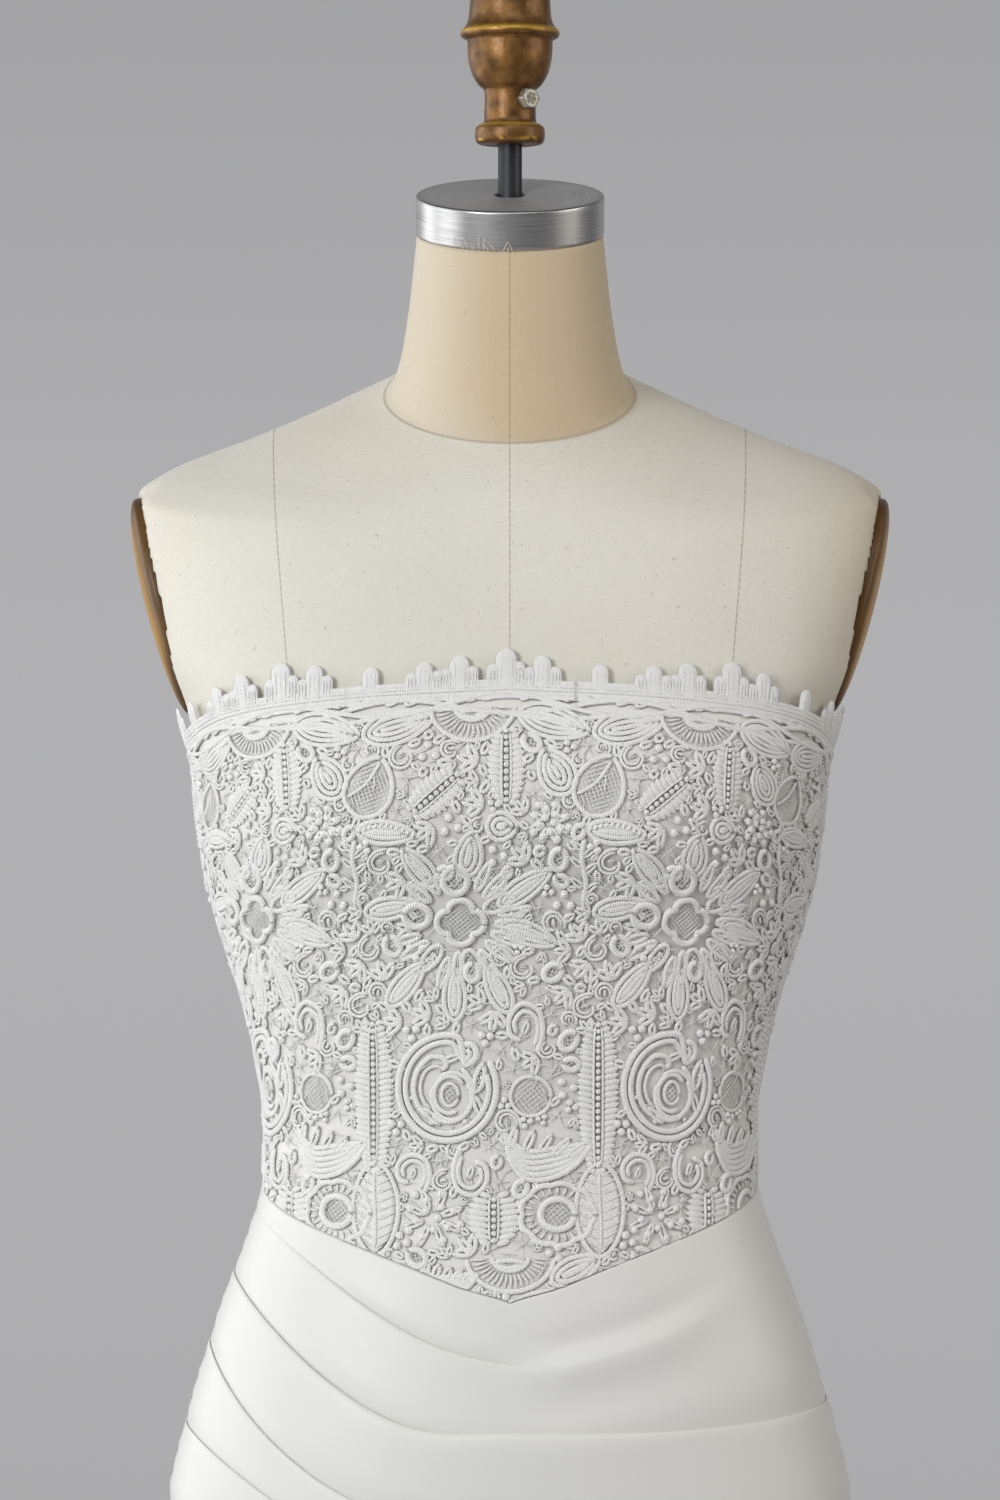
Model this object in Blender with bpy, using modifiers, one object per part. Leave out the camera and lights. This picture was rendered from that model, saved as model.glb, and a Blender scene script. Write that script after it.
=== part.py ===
"""Strapless corset dress on a limbless dress form with its stand, in metres, +Z up, the front towards -Y.

The dress is a guipure lace bodice over a satin lining, sewn at a pointed waist to a short satin skirt whose
folds run out of the left side seam. The form is a padded linen torso with a steel neck cap, a turned finial
on a rod, two armhole plates, and a round iron base on a pole.
"""

import math
from collections import namedtuple

import bmesh
import bpy
import numpy as np
from mathutils import Matrix, Vector
from mathutils.geometry import delaunay_2d_cdt

GAP = 0.0003  # between pieces that touch

# The torso's level sections. front and back are measured from the pole's axis, square is the exponent of the
# superellipse, and tilt is how far a section leans forward, as a slope.
Section = namedtuple("Section", "height half_width front back square tilt")
SECTIONS = (
    Section(0.520, 0.1660, 0.0930, 0.1080, 2.20, 0.00),
    Section(0.640, 0.1690, 0.0940, 0.1100, 2.20, 0.00),
    Section(0.755, 0.1690, 0.0950, 0.1120, 2.20, 0.00),
    Section(0.810, 0.1705, 0.0970, 0.1165, 2.20, 0.00),
    Section(0.866, 0.1680, 0.0975, 0.1180, 2.20, 0.00),
    Section(0.904, 0.1600, 0.0965, 0.1130, 2.20, 0.00),
    Section(0.935, 0.1510, 0.0935, 0.1045, 2.20, 0.00),
    Section(0.970, 0.1395, 0.0890, 0.0925, 2.15, 0.00),
    Section(1.000, 0.1280, 0.0845, 0.0835, 2.15, 0.00),
    Section(1.030, 0.1205, 0.0810, 0.0780, 2.15, 0.00),
    Section(1.060, 0.1200, 0.0805, 0.0765, 2.15, 0.00),
    Section(1.090, 0.1245, 0.0835, 0.0780, 2.15, 0.00),
    Section(1.120, 0.1320, 0.0885, 0.0815, 2.20, 0.00),
    Section(1.150, 0.1415, 0.0960, 0.0870, 2.25, 0.00),
    Section(1.178, 0.1490, 0.1060, 0.0920, 2.30, 0.00),
    Section(1.205, 0.1530, 0.1140, 0.0980, 2.35, 0.00),
    Section(1.230, 0.1555, 0.1150, 0.1015, 2.45, 0.00),
    Section(1.262, 0.1635, 0.1080, 0.1040, 2.60, 0.02),
    Section(1.290, 0.1745, 0.1010, 0.1030, 2.60, 0.05),
    Section(1.320, 0.1830, 0.0962, 0.0990, 2.60, 0.10),
    Section(1.350, 0.1880, 0.0908, 0.0950, 2.50, 0.17),
    Section(1.367, 0.1870, 0.0872, 0.0930, 2.30, 0.22),
    Section(1.377, 0.1740, 0.0843, 0.0910, 2.10, 0.25),
    Section(1.390, 0.1370, 0.0800, 0.0880, 1.95, 0.31),
    Section(1.405, 0.0960, 0.0720, 0.0810, 1.90, 0.38),
    Section(1.422, 0.0590, 0.0600, 0.0660, 2.00, 0.44),
    Section(1.458, 0.0510, 0.0530, 0.0550, 2.00, 0.36),
    Section(1.499, 0.0465, 0.0465, 0.0465, 2.00, 0.28),
)
HEIGHTS = np.array([row.height for row in SECTIONS])

BUST_HEIGHT, BUST_APART, BUST_RISE = 1.212, 0.072, 0.014
BUST_WIDE, BUST_ABOVE, BUST_BELOW = 0.062, 0.050, 0.042

# The form
FORM_BOTTOM = 0.755
FORM_COLUMNS = 36
FORM_INSET = 0.0024  # how much smaller the torso is where the dress covers it
CAP_HEIGHT, CAP_RADIUS, CAP_ROUND = 0.0195, 0.0471, 0.0015
NECK_TOP = SECTIONS[-1]
ROD_RADIUS, ROD_LENGTH, ROD_HOLE = 0.0060, 0.062, 0.0076
ARMHOLE_HALF_HEIGHT, ARMHOLE_HALF_DEPTH = 0.056, 0.043
ARMHOLE_CENTRE, ARMHOLE_LEAN = (0.1750, 0.0, 1.3120), math.radians(14.5)
PLATE_RISE, PLATE_BELOW = 0.0062, 0.0060
POLE_RADIUS, BASE_RADIUS, BASE_EDGE = 0.0160, 0.2050, 0.0090
COLLAR_RADIUS, COLLAR_FLANGE, COLLAR_HEIGHT, BOARD_THICK, BOARD_INSET = 0.0300, 0.042, 0.030, 0.010, 0.009
SOCKET = 0.006  # height of the pole's foot in the base

# The finial, turned from its bottom up (radius, height), and its set screw
FINIAL_BOTTOM = 1.5440
FINIAL_PROFILE = (
    (0.0000, 0.1330),
    (0.0070, 0.1318),
    (0.0125, 0.1278),
    (0.0150, 0.1215),
    (0.0140, 0.1150),
    (0.0158, 0.1105),
    (0.0196, 0.0900),
    (0.0200, 0.0720),
    (0.0207, 0.0620),
    (0.0224, 0.0580),
    (0.0244, 0.0560),
    (0.0248, 0.0542),
    (0.0238, 0.0525),
    (0.0213, 0.0512),
    (0.0211, 0.0460),
    (0.0201, 0.0390),
    (0.0176, 0.0325),
    (0.0148, 0.0287),
    (0.0130, 0.0272),
    (0.0129, 0.0110),
    (0.0150, 0.0092),
    (0.0175, 0.0050),
    (0.0174, 0.0022),
    (0.0160, 0.0000),
)
FINIAL_STEM = 0.0129
SCREW_TURN, SCREW_HEIGHT = math.radians(38), FINIAL_BOTTOM + 0.0215
SCREW_SHANK, SCREW_HEAD, SCREW_HEAD_DEEP, SCREW_SUNK = 0.0026, 0.0050, 0.0042, 0.0032

# The dress: how far each layer's faces lie from the torso
LINING_INNER, LINING_OUTER = 0.0008, 0.0018
LACE_INNER, LACE_OUTER, LACE_RELIEF = 0.0030, 0.0040, 0.0011
SKIRT_INNER, SKIRT_OUTER = 0.0008, 0.0024
WAIST_SIDE, WAIST_POINT_DROP = 1.0265, 0.0568
HEM = 0.530
ZIP_HALF_WIDTH, ZIP_TOP, ZIP_END = 0.0015, 1.2235, 0.905
ZIP_INNER, ZIP_OUTER = 0.0010, 0.0026
Slider = namedtuple("Slider", "height width thick length ear_at")
SLIDER = Slider(1.2185, 0.0046, 0.0020, 0.0078, 0.0017)
PIN_HEIGHT, PIN_RADIUS, KEEL_WIDTH = SLIDER.height - 0.0010, 0.0005, 0.0016
Ear = namedtuple("Ear", "width deep tall")
EAR = Ear(0.0009, 0.0034, 0.0030)
PULL_LENGTH, PULL_THICK, PULL_BARREL, PULL_HOLE = 0.0210, 0.0010, 0.0012, 0.0008
BODICE_ROWS = 12

# The neckline's height at angles from the centre front
NECK_ANGLES = np.radians([0, 30, 50, 62, 75, 90, 125, 180])
NECK_HEIGHTS = np.array([1.2785, 1.2750, 1.2700, 1.2640, 1.2540, 1.2440, 1.2300, 1.2240])

# The folds of the skirt front: each one's height at the left side seam, at its lowest and at the right side seam,
# the share of the way round at which it is lowest, how late it falls and rises (powers), the share at which it
# has died out (1.4 runs into the right seam), and how proud its turned edge stands.
Fold = namedtuple("Fold", "left_seam lowest right_seam lowest_at falls rises reach depth")
FOLDS = (
    Fold(1.0115, 0.9420, 0.9970, 0.58, 1.6, 1.5, 0.76, 0.0026),
    Fold(0.9800, 0.9065, 0.9300, 0.44, 1.3, 1.9, 1.40, 0.0032),
    Fold(0.9460, 0.8680, 0.8800, 0.44, 1.9, 1.9, 0.80, 0.0028),
    Fold(0.9060, 0.8290, 0.8400, 0.50, 1.5, 1.9, 1.40, 0.0030),
    Fold(0.8650, 0.7880, 0.7990, 0.50, 1.5, 1.9, 0.78, 0.0027),
    Fold(0.8210, 0.7450, 0.7560, 0.50, 1.5, 1.9, 1.40, 0.0027),
)
FOLD_RISE_FROM = 0.54  # share of the way round where the folds start to rise again
FOLD_EDGE = 0.0012  # height of the turned edge
BACK_FOLD_REACH = 0.42  # the same folds die out on the back this far from the side seam to the centre back

# The lace repeat, in millimetres from the middle of its big flower, across and up
Motif = namedtuple("Motif", "across up half_width half_height turn")
REPEAT = 111.0
FLOWER_HEIGHT, FLOWER_ACROSS = 1.159, -24.0
MOTIFS = (
    Motif(0, 0, 21, 20, 0),  # big flower
    Motif(-34, 7, 13, 6, 10),  # its leaves
    Motif(31, 17, 15, 6, 35),
    Motif(33, -6, 14, 6, -20),
    Motif(-27, -31, 14, 6, 50),
    Motif(-3, -36, 6, 13, 0),
    Motif(18, -33, 6, 13, 25),
    Motif(4, 33, 7, 11, -10),
    Motif(-20, 27, 6, 12, 40),
    Motif(-7, -82, 26, 28, 0),  # ring scroll round a rosebud
    Motif(-44, -86, 10, 35, 0),  # toothed leaf
    Motif(31, -52, 9, 12, 0),  # looped scroll
    Motif(34, -86, 10, 10, 0),
    Motif(42, -115, 21, 14, 0),  # shell
    Motif(-24, -124, 9, 9, 0),
    Motif(5, -124, 9, 11, 0),
    Motif(47, -144, 17, 14, 0),  # netted oval
    Motif(-43, -142, 12, 22, 0),  # broad leaf
    Motif(-14, -146, 15, 14, 0),  # berry spray
    Motif(16, -146, 13, 12, 0),
    Motif(-44, 66, 12, 15, -20),  # netted half leaf
    Motif(-12, 62, 14, 9, 40),  # toothed leaf
    Motif(-36, 44, 14, 6, -5),  # berry row
    Motif(-52, 25, 5, 15, 0),
    Motif(22, 74, 9, 17, 0),  # beaded leaf
    Motif(43, 48, 10, 10, 0),
    Motif(46, 72, 9, 12, 30),
    Motif(20, 46, 8, 7, 0),
    Motif(6, 98, 20, 12, 0),  # fan under the edge
    Motif(-30, 96, 17, 9, 15),
    Motif(45, 97, 17, 9, -15),
)
RAISED_SHARE = 0.55  # the raised core of a motif, as a share of its size
RAISED_LEAST = 10.0
GAPS_A_REPEAT, GAP_LEAST, GAP_MOST, GAP_BAR, GAP_PITCH = 22, 2.1, 4.6, 1.8, 2.5
FILL_PITCH, FILL_CLEAR = 0.005, 0.0108  # where the lace lies plain, points this far apart keep it on the curve
Picot = namedtuple("Picot", "across half_width rise")
PICOTS = (
    Picot(-43.5, 4.4, 10.0),
    Picot(-17.5, 4.6, 11.0),
    Picot(-0.5, 5.2, 14.0),
    Picot(22.0, 5.6, 17.0),
    Picot(39.5, 4.8, 13.5),
)

LINEN, SATIN, LACE = (0.78, 0.70, 0.55), (0.88, 0.88, 0.86), (0.93, 0.93, 0.92)
STEEL, ZINC, BRONZE = (0.55, 0.55, 0.56), (0.5, 0.5, 0.45), (0.35, 0.19, 0.09)
BLACK, OCHRE, WOOD, ENAMEL = (0.02, 0.02, 0.02), (0.55, 0.33, 0.09), (0.35, 0.22, 0.12), (0.85, 0.85, 0.84)


def clear_scene():
    for obj in list(bpy.data.objects):
        bpy.data.objects.remove(obj)


def collection(name):
    made = bpy.data.collections.new(name)
    bpy.context.scene.collection.children.link(made)
    return made


def material(name, colour, roughness, metallic=0.0):
    made = bpy.data.materials.get(name) or bpy.data.materials.new(name)
    made.use_nodes = True
    shader = made.node_tree.nodes["Principled BSDF"]
    shader.inputs["Base Color"].default_value = (*colour, 1.0)
    shader.inputs["Roughness"].default_value = roughness
    shader.inputs["Metallic"].default_value = metallic
    return made


def add(name, mesh, finish):
    """Links a mesh as a named object of the model and shades it smooth."""
    mesh.materials.append(finish)
    mesh.shade_smooth()
    mesh.set_sharp_from_angle(angle=math.radians(40))
    obj = bpy.data.objects.new(name, mesh)
    PIECES.objects.link(obj)
    return obj


def eased(knots, values, at):
    """A smooth curve through (knot, value) pairs, read at any places, that never runs past them.

    Cubic Hermite; the slope at a knot is the harmonic mean of the runs beside it, or level at a turn.
    """
    at = np.clip(at, knots[0], knots[-1])
    runs = np.diff(values) / np.diff(knots)
    product, total = runs[:-1] * runs[1:], runs[:-1] + runs[1:]
    inner = np.where(product > 0, 2 * product / np.where(product > 0, total, 1), 0)
    slopes = np.concatenate([runs[:1], inner, runs[-1:]])
    i = np.clip(np.searchsorted(knots, at, side="right") - 1, 0, len(knots) - 2)
    width = knots[i + 1] - knots[i]
    t = (at - knots[i]) / width
    return (
        values[i] * (1 + 2 * t) * (1 - t) ** 2
        + values[i + 1] * t**2 * (3 - 2 * t)
        + width * slopes[i] * t * (1 - t) ** 2
        - width * slopes[i + 1] * t**2 * (1 - t)
    )


def smoothstep(t):
    t = np.clip(t, 0, 1)
    return t * t * (3 - 2 * t)


def section_value(name, height):
    return eased(HEIGHTS, np.array([getattr(row, name) for row in SECTIONS]), height)


def torso(angle, height):
    """The torso's surface: a superellipse at each height, with two soft bust rounds in front and a forward lean.

    angle is 0 at the centre front and grows towards +X.
    """
    square = section_value("square", height)
    across, ahead = np.sin(angle), np.cos(angle)
    depth = np.where(ahead > 0, section_value("front", height), section_value("back", height))
    half_width = section_value("half_width", height)
    radius = (np.abs(across / half_width) ** square + np.abs(ahead / depth) ** square) ** (-1 / square)
    x, y = radius * across, -radius * ahead
    fall = np.where(height > BUST_HEIGHT, BUST_ABOVE, BUST_BELOW)
    round_up = np.exp(-(((height - BUST_HEIGHT) / fall) ** 2))
    rounds = sum(np.exp(-(((x - side * BUST_APART) / BUST_WIDE) ** 2)) for side in (-1, 1))
    y = y - BUST_RISE * round_up * rounds * smoothstep(2 * ahead)
    return np.stack([x, y, height + section_value("tilt", height) * y], axis=-1)


def cloth(angle, height, away):
    """Points that lie a distance away from the torso, along its outward normal."""
    angle, height, away = np.broadcast_arrays(angle, height, away)
    step = 1e-4
    across = torso(angle + step, height) - torso(angle - step, height)
    along = torso(angle, height + step) - torso(angle, height - step)
    normal = np.cross(across, along)
    normal /= np.linalg.norm(normal, axis=-1, keepdims=True)
    return torso(angle, height) + away[..., None] * normal


def from_front(angle):
    """How far round from the centre front an angle is, 0 to pi."""
    return np.abs(np.mod(angle + math.pi, 2 * math.pi) - math.pi)


def neckline(angle):
    return eased(NECK_ANGLES, NECK_HEIGHTS, from_front(angle))


def waistline(angle):
    """The bodice seam: level across the back, and down to a point at the centre front in two nearly straight runs."""
    share = np.clip(1 - from_front(angle) / (math.pi / 2), 0, 1)
    rounded = share - 0.05 * smoothstep((share - 0.8) / 0.2)
    return WAIST_SIDE - WAIST_POINT_DROP * rounded


# Girth along the cloth, as a table of arc lengths from the left side seam (rows of height, columns of angle)
GIRTH_HEIGHTS = np.linspace(0.94, 1.31, 75)
GIRTH_ANGLES = np.linspace(-math.pi / 2, 1.5 * math.pi, 361)


def girth_table():
    points = cloth(GIRTH_ANGLES[None, :], GIRTH_HEIGHTS[:, None], LACE_INNER)[..., :2]
    steps = np.linalg.norm(np.diff(points, axis=1), axis=-1)
    return np.concatenate([np.zeros((len(points), 1)), np.cumsum(steps, axis=1)], axis=1)


def read_table(table, height, angle):
    """Bilinear reading of the girth table."""
    row = np.interp(height, GIRTH_HEIGHTS, np.arange(len(GIRTH_HEIGHTS)))
    column = np.interp(angle, GIRTH_ANGLES, np.arange(len(GIRTH_ANGLES)))
    i = np.minimum(row.astype(int), table.shape[0] - 2)
    j = np.minimum(column.astype(int), table.shape[1] - 2)
    u, v = row - i, column - j
    below = table[i, j] * (1 - v) + table[i, j + 1] * v
    above = table[i + 1, j] * (1 - v) + table[i + 1, j + 1] * v
    return below * (1 - u) + above * u


def arc_from(centre, angle, height):
    """Length along the cloth from a centre line to an angle."""
    return read_table(GIRTH, height, angle) - read_table(GIRTH, height, np.full_like(angle, centre))


def angle_at(centre, arc, height):
    """The angle that lies an arc length from a centre line, by Newton steps."""
    angle = centre + arc / 0.13
    for _ in range(12):
        slope = (arc_from(centre, angle + 0.01, height) - arc_from(centre, angle - 0.01, height)) / 0.02
        step = (arc_from(centre, angle, height) - arc) / np.maximum(slope, 0.03)
        angle = np.clip(angle - step, GIRTH_ANGLES[1], GIRTH_ANGLES[-2])
    return angle


def walled(name, inner, outer, faces, finish):
    """A closed wall between two matching sets of points; faces list the outer face's corners, anticlockwise."""
    count = len(inner)
    shell = bmesh.new()
    verts = [shell.verts.new(point) for point in (*inner, *outer)]
    directed = {(face[k - 1], face[k]) for face in faces for k in range(len(face))}
    for face in faces:
        shell.faces.new([verts[i + count] for i in face])
        shell.faces.new([verts[i] for i in reversed(face)])
    for a, b in sorted(directed):
        if (b, a) not in directed:
            shell.faces.new((verts[b + count], verts[a + count], verts[a], verts[b]))
    bmesh.ops.recalc_face_normals(shell, faces=shell.faces)
    mesh = bpy.data.meshes.new(name)
    shell.to_mesh(mesh)
    shell.free()
    return add(name, mesh, finish)


def grid_faces(rows, columns):
    """Corners of a grid's quads, with rows running down and columns running anticlockwise seen from above."""
    return [
        (i * columns + j, (i + 1) * columns + j, (i + 1) * columns + j + 1, i * columns + j + 1)
        for i in range(rows - 1)
        for j in range(columns - 1)
    ]


def panel(name, angles, heights, inner_away, outer_away, finish):
    """A cloth panel from a grid of angles and heights, rows from its top edge down."""
    inner = cloth(angles, heights, inner_away)
    outer = cloth(angles, heights, outer_away)
    faces = grid_faces(*angles.shape)
    return walled(name, inner.reshape(-1, 3), outer.reshape(-1, 3), faces, finish)


def seam_off(seam, height, half_gap):
    """The angle by which a panel's edge stands off a seam line, so that it lies half_gap from it."""
    return half_gap / np.linalg.norm(torso(np.full_like(height, seam), height)[..., :2], axis=-1)


def back_edges(height, side, half_gap):
    """Angles of a back panel's two edges, lower one first: the right back (side 1) comes before the left (side -1)."""
    centre = math.pi - side * seam_off(math.pi, height, half_gap)
    seam = math.pi - side * (math.pi / 2 - seam_off(math.pi / 2, height, GAP / 2))
    return (seam, centre) if side > 0 else (centre, seam)


def bodice_grid(side, columns, rows, top_drop):
    """Angles and heights of a bodice panel: side 0 is the front, and 1 or -1 is the right or left back."""
    v = np.linspace(0, 1, rows)[:, None]
    if side == 0:
        end = math.pi / 2 - GAP / 2 / 0.15
        angles = np.repeat(np.linspace(-end, end, columns)[None, :], rows, axis=0)
    else:
        low, high = back_edges(np.linspace(NECK_HEIGHTS[-1], WAIST_SIDE, rows), side, ZIP_HALF_WIDTH + GAP)
        angles = low[:, None] + (high - low)[:, None] * np.linspace(0, 1, columns)[None, :]
    top, bottom = neckline(angles) - top_drop, waistline(angles) + GAP / 2
    return angles, top + (bottom - top) * v


def make_lining():
    satin = material("lining_satin", SATIN, 0.45)
    panels = (("lining_front", 0, 15), ("lining_back_left", -1, 8), ("lining_back_right", 1, 8))
    for name, side, columns in panels:
        angles, heights = bodice_grid(side, columns, BODICE_ROWS, 0.001)
        panel(name, angles, heights, LINING_INNER, LINING_OUTER, satin)


def sag_with_neck(centre, arc, up):
    """The height of a lace point: the repeat's upper rows follow the neckline as it drops to the sides."""
    level = FLOWER_HEIGHT + up
    angle = angle_at(centre, arc, np.clip(level, GIRTH_HEIGHTS[0], 1.27))
    start = NECK_HEIGHTS[0] if centre == 0 else NECK_HEIGHTS[0] - 0.004
    drop = neckline(angle) - start
    share = smoothstep((level - 1.165) / (NECK_HEIGHTS[0] - 1.165))
    return level + drop * share


def gap_sizes(points):
    """How far each point of the repeat lies from every motif, in millimetres, less half a bar."""
    least = np.full(len(points), np.inf)
    for shift in (-REPEAT, 0, REPEAT):
        for motif in MOTIFS:
            turn = math.radians(motif.turn)
            offset = points - (motif.across + shift, motif.up)
            along = offset[:, 0] * math.cos(turn) + offset[:, 1] * math.sin(turn)
            aside = offset[:, 1] * math.cos(turn) - offset[:, 0] * math.sin(turn)
            reach = np.hypot(along / motif.half_width, aside / motif.half_height)
            size = np.hypot(along, aside) * (1 - 1 / np.maximum(reach, 1e-6))
            least = np.minimum(least, size)
    return least - GAP_BAR / 2


def lace_gaps():
    """Open gaps between the motifs, largest first: (across, up, radius) in millimetres."""
    across, up = np.meshgrid(
        np.arange(-REPEAT / 2, REPEAT / 2, GAP_PITCH), np.arange(-158.0, 92.0, GAP_PITCH)
    )
    points = np.stack([across.ravel(), up.ravel()], axis=1)
    sizes = np.minimum(gap_sizes(points), GAP_MOST)
    chosen = []
    for i in np.argsort(-sizes, kind="stable"):
        (x, y), size = points[i], sizes[i]
        for cx, cy, cr in chosen:
            away = min(abs(x - cx), REPEAT - abs(x - cx))
            size = min(size, math.hypot(away, y - cy) - cr - GAP_BAR)
        if size >= GAP_LEAST:
            chosen.append((x, y, size))
    return sorted(chosen, key=lambda gap: -gap[2])[:GAPS_A_REPEAT]


def repeat_starts(centre, low, high):
    """Where the big flowers of the repeats that reach into a panel lie, in millimetres along its arc."""
    first = FLOWER_ACROSS + (REPEAT / 2 if centre else 0)
    starts = [first + k * REPEAT for k in range(-5, 6)]
    return [start for start in starts if low * 1000 - REPEAT < start < high * 1000 + REPEAT]


def scalloped_edge(centre, low, high):
    """The lace's top edge as (arc, height) points from low to high, with its standing picots."""
    points = [(low, 0.0)]
    for start in repeat_starts(centre, low, high):
        for picot in PICOTS:
            arc = (start + picot.across) / 1000
            half, rise = picot.half_width / 1000, picot.rise / 1000
            outline = ((-1.0, 0.0), (-0.85, 0.72), (0.0, 1.0), (0.85, 0.72), (1.0, 0.0))
            if low + half + 0.001 < arc < high - half - 0.001:
                points += [(arc + share * half, up * rise) for share, up in outline]
    points.append((high, 0.0))
    arcs = np.array([point[0] for point in points])
    base = np.full(len(points), NECK_HEIGHTS[0])
    for _ in range(4):
        base = neckline(angle_at(centre, arcs, base))
    return [(arc, start + rise) for (arc, rise), start in zip(points, base)]


def lace_outline(side, centre):
    """The lace panel's outline in (arc, height), anticlockwise from the lower left."""
    angles, heights = bodice_grid(side, 15, BODICE_ROWS, 0.0)
    arcs = arc_from(centre, angles, np.clip(heights, GIRTH_HEIGHTS[0], GIRTH_HEIGHTS[-1]))
    bottom = list(zip(arcs[-1], heights[-1]))
    right = list(zip(arcs[::-1, -1], heights[::-1, -1]))[1:-1]
    left = list(zip(arcs[:, 0], heights[:, 0]))[1:-1]
    top = scalloped_edge(centre, arcs[0, 0], arcs[0, -1])[::-1]
    return bottom + right + top + left


def inside(points, outline, margin):
    """Which points lie in the outline, at least a margin from its edge."""
    a, b = np.array(outline), np.roll(np.array(outline), -1, axis=0)
    p = np.asarray(points)[:, None, :]
    crosses = (a[:, 1] > p[..., 1]) != (b[:, 1] > p[..., 1])
    with np.errstate(divide="ignore", invalid="ignore"):
        at = a[:, 0] + (p[..., 1] - a[:, 1]) * (b[:, 0] - a[:, 0]) / (b[:, 1] - a[:, 1])
    odd = (crosses & (p[..., 0] < at)).sum(axis=1) % 2 == 1
    along = np.clip(((p - a) * (b - a)).sum(-1) / ((b - a) ** 2).sum(-1), 0, 1)
    far = np.linalg.norm(p - a - along[..., None] * (b - a), axis=-1).min(axis=1)
    return odd & (far > margin)


def make_lace(name, side, finish):
    """A lace panel: its outline with the gaps cut out, laid over the lining, with the motifs' cores raised."""
    centre = math.pi * abs(side)
    outline = lace_outline(side, centre)
    low, high = min(p[0] for p in outline), max(p[0] for p in outline)
    points, loops, raised = list(outline), [list(range(len(outline)))], set()
    gaps = lace_gaps()
    for start in repeat_starts(centre, low, high):
        for across, up, size in gaps:
            arc = np.array([(start + across) / 1000])
            height = sag_with_neck(centre, arc, np.array([up / 1000]))
            if inside([(arc[0], height[0])], outline, size / 1000 + 0.0025)[0]:
                turns = [math.radians(60 * k + 7 * (across + up)) for k in range(6)]
                loops.append(list(range(len(points), len(points) + 6)))
                radius = size / 1000
                points += [(arc[0] + radius * math.cos(t), height[0] + radius * math.sin(t)) for t in turns]
        for motif in MOTIFS:
            if min(motif.half_width, motif.half_height) < RAISED_LEAST:
                continue
            turns = np.radians(np.arange(0, 360, 90))
            across = motif.across + RAISED_SHARE * motif.half_width * np.cos(turns)
            up = motif.up + RAISED_SHARE * motif.half_height * np.sin(turns)
            arc = (start + across) / 1000
            height = sag_with_neck(centre, arc, up / 1000)
            kept = inside(np.stack([arc, height], axis=1), outline, 0.003)
            for point in zip(arc[kept], height[kept]):
                raised.add(len(points))
                points.append(point)
    bottom = WAIST_SIDE - WAIST_POINT_DROP
    across, up = np.meshgrid(np.arange(low, high, FILL_PITCH), np.arange(bottom, NECK_HEIGHTS[0], FILL_PITCH))
    fill = np.stack([across.ravel(), up.ravel()], axis=1)
    for point in fill[inside(fill, outline, 0.003)]:
        if np.hypot(*(np.array(points) - point).T).min() > FILL_CLEAR:
            points.append(tuple(point))
    flat, _, faces, ids, _, from_faces = delaunay_2d_cdt([Vector(p) for p in points], [], loops, 0, 1e-7)
    faces = [tuple(face) for face, origin in zip(faces, from_faces) if list(origin) == [0]]
    used = sorted({i for face in faces for i in face})
    number = {old: new for new, old in enumerate(used)}
    faces = [tuple(number[i] for i in face) for face in faces]
    arc = np.array([flat[i][0] for i in used])
    height = np.array([flat[i][1] for i in used])
    relief = np.array([LACE_RELIEF if raised & set(ids[i]) else 0.0 for i in used])
    angle = angle_at(centre, arc, height)
    inner, outer = cloth(angle, height, LACE_INNER), cloth(angle, height, LACE_OUTER + relief)
    return walled(name, inner, outer, faces, finish)


def fold_line(fold, t):
    """The height of a fold at a share t of the way from the left seam to the right."""
    down = (0.5 * (1 + np.cos(math.pi * np.minimum(t / fold.lowest_at, 1)))) ** fold.falls
    up = np.clip((t - FOLD_RISE_FROM) / (1 - FOLD_RISE_FROM), 0, 1) ** fold.rises
    return fold.lowest + (fold.left_seam - fold.lowest) * down + (fold.right_seam - fold.lowest) * up


def folded_rows(top, lines, depths, bottom, hem_rows):
    """Rows of height and of depth down a folded panel.

    Each lower strip lies over the one above: its turned upper edge stands proud, and it sinks to the next fold.
    """
    heights, rises = [top, (top + lines[0]) / 2], [0 * top, 0.0006 + 0 * top]
    for k, (line, depth) in enumerate(zip(lines, depths)):
        below = lines[k + 1] if k + 1 < len(lines) else line - 0.045
        heights += [line + FOLD_EDGE, line, line - 0.35 * (line - below)]
        rises += [0 * top, depth, 0.75 * depth]
    last = heights[-1]
    heights += [last + (bottom - last) * v for v in np.linspace(0, 1, hem_rows + 1)[1:]]
    rises += [0 * top] * hem_rows
    return np.array(heights), np.array(rises)


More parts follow.
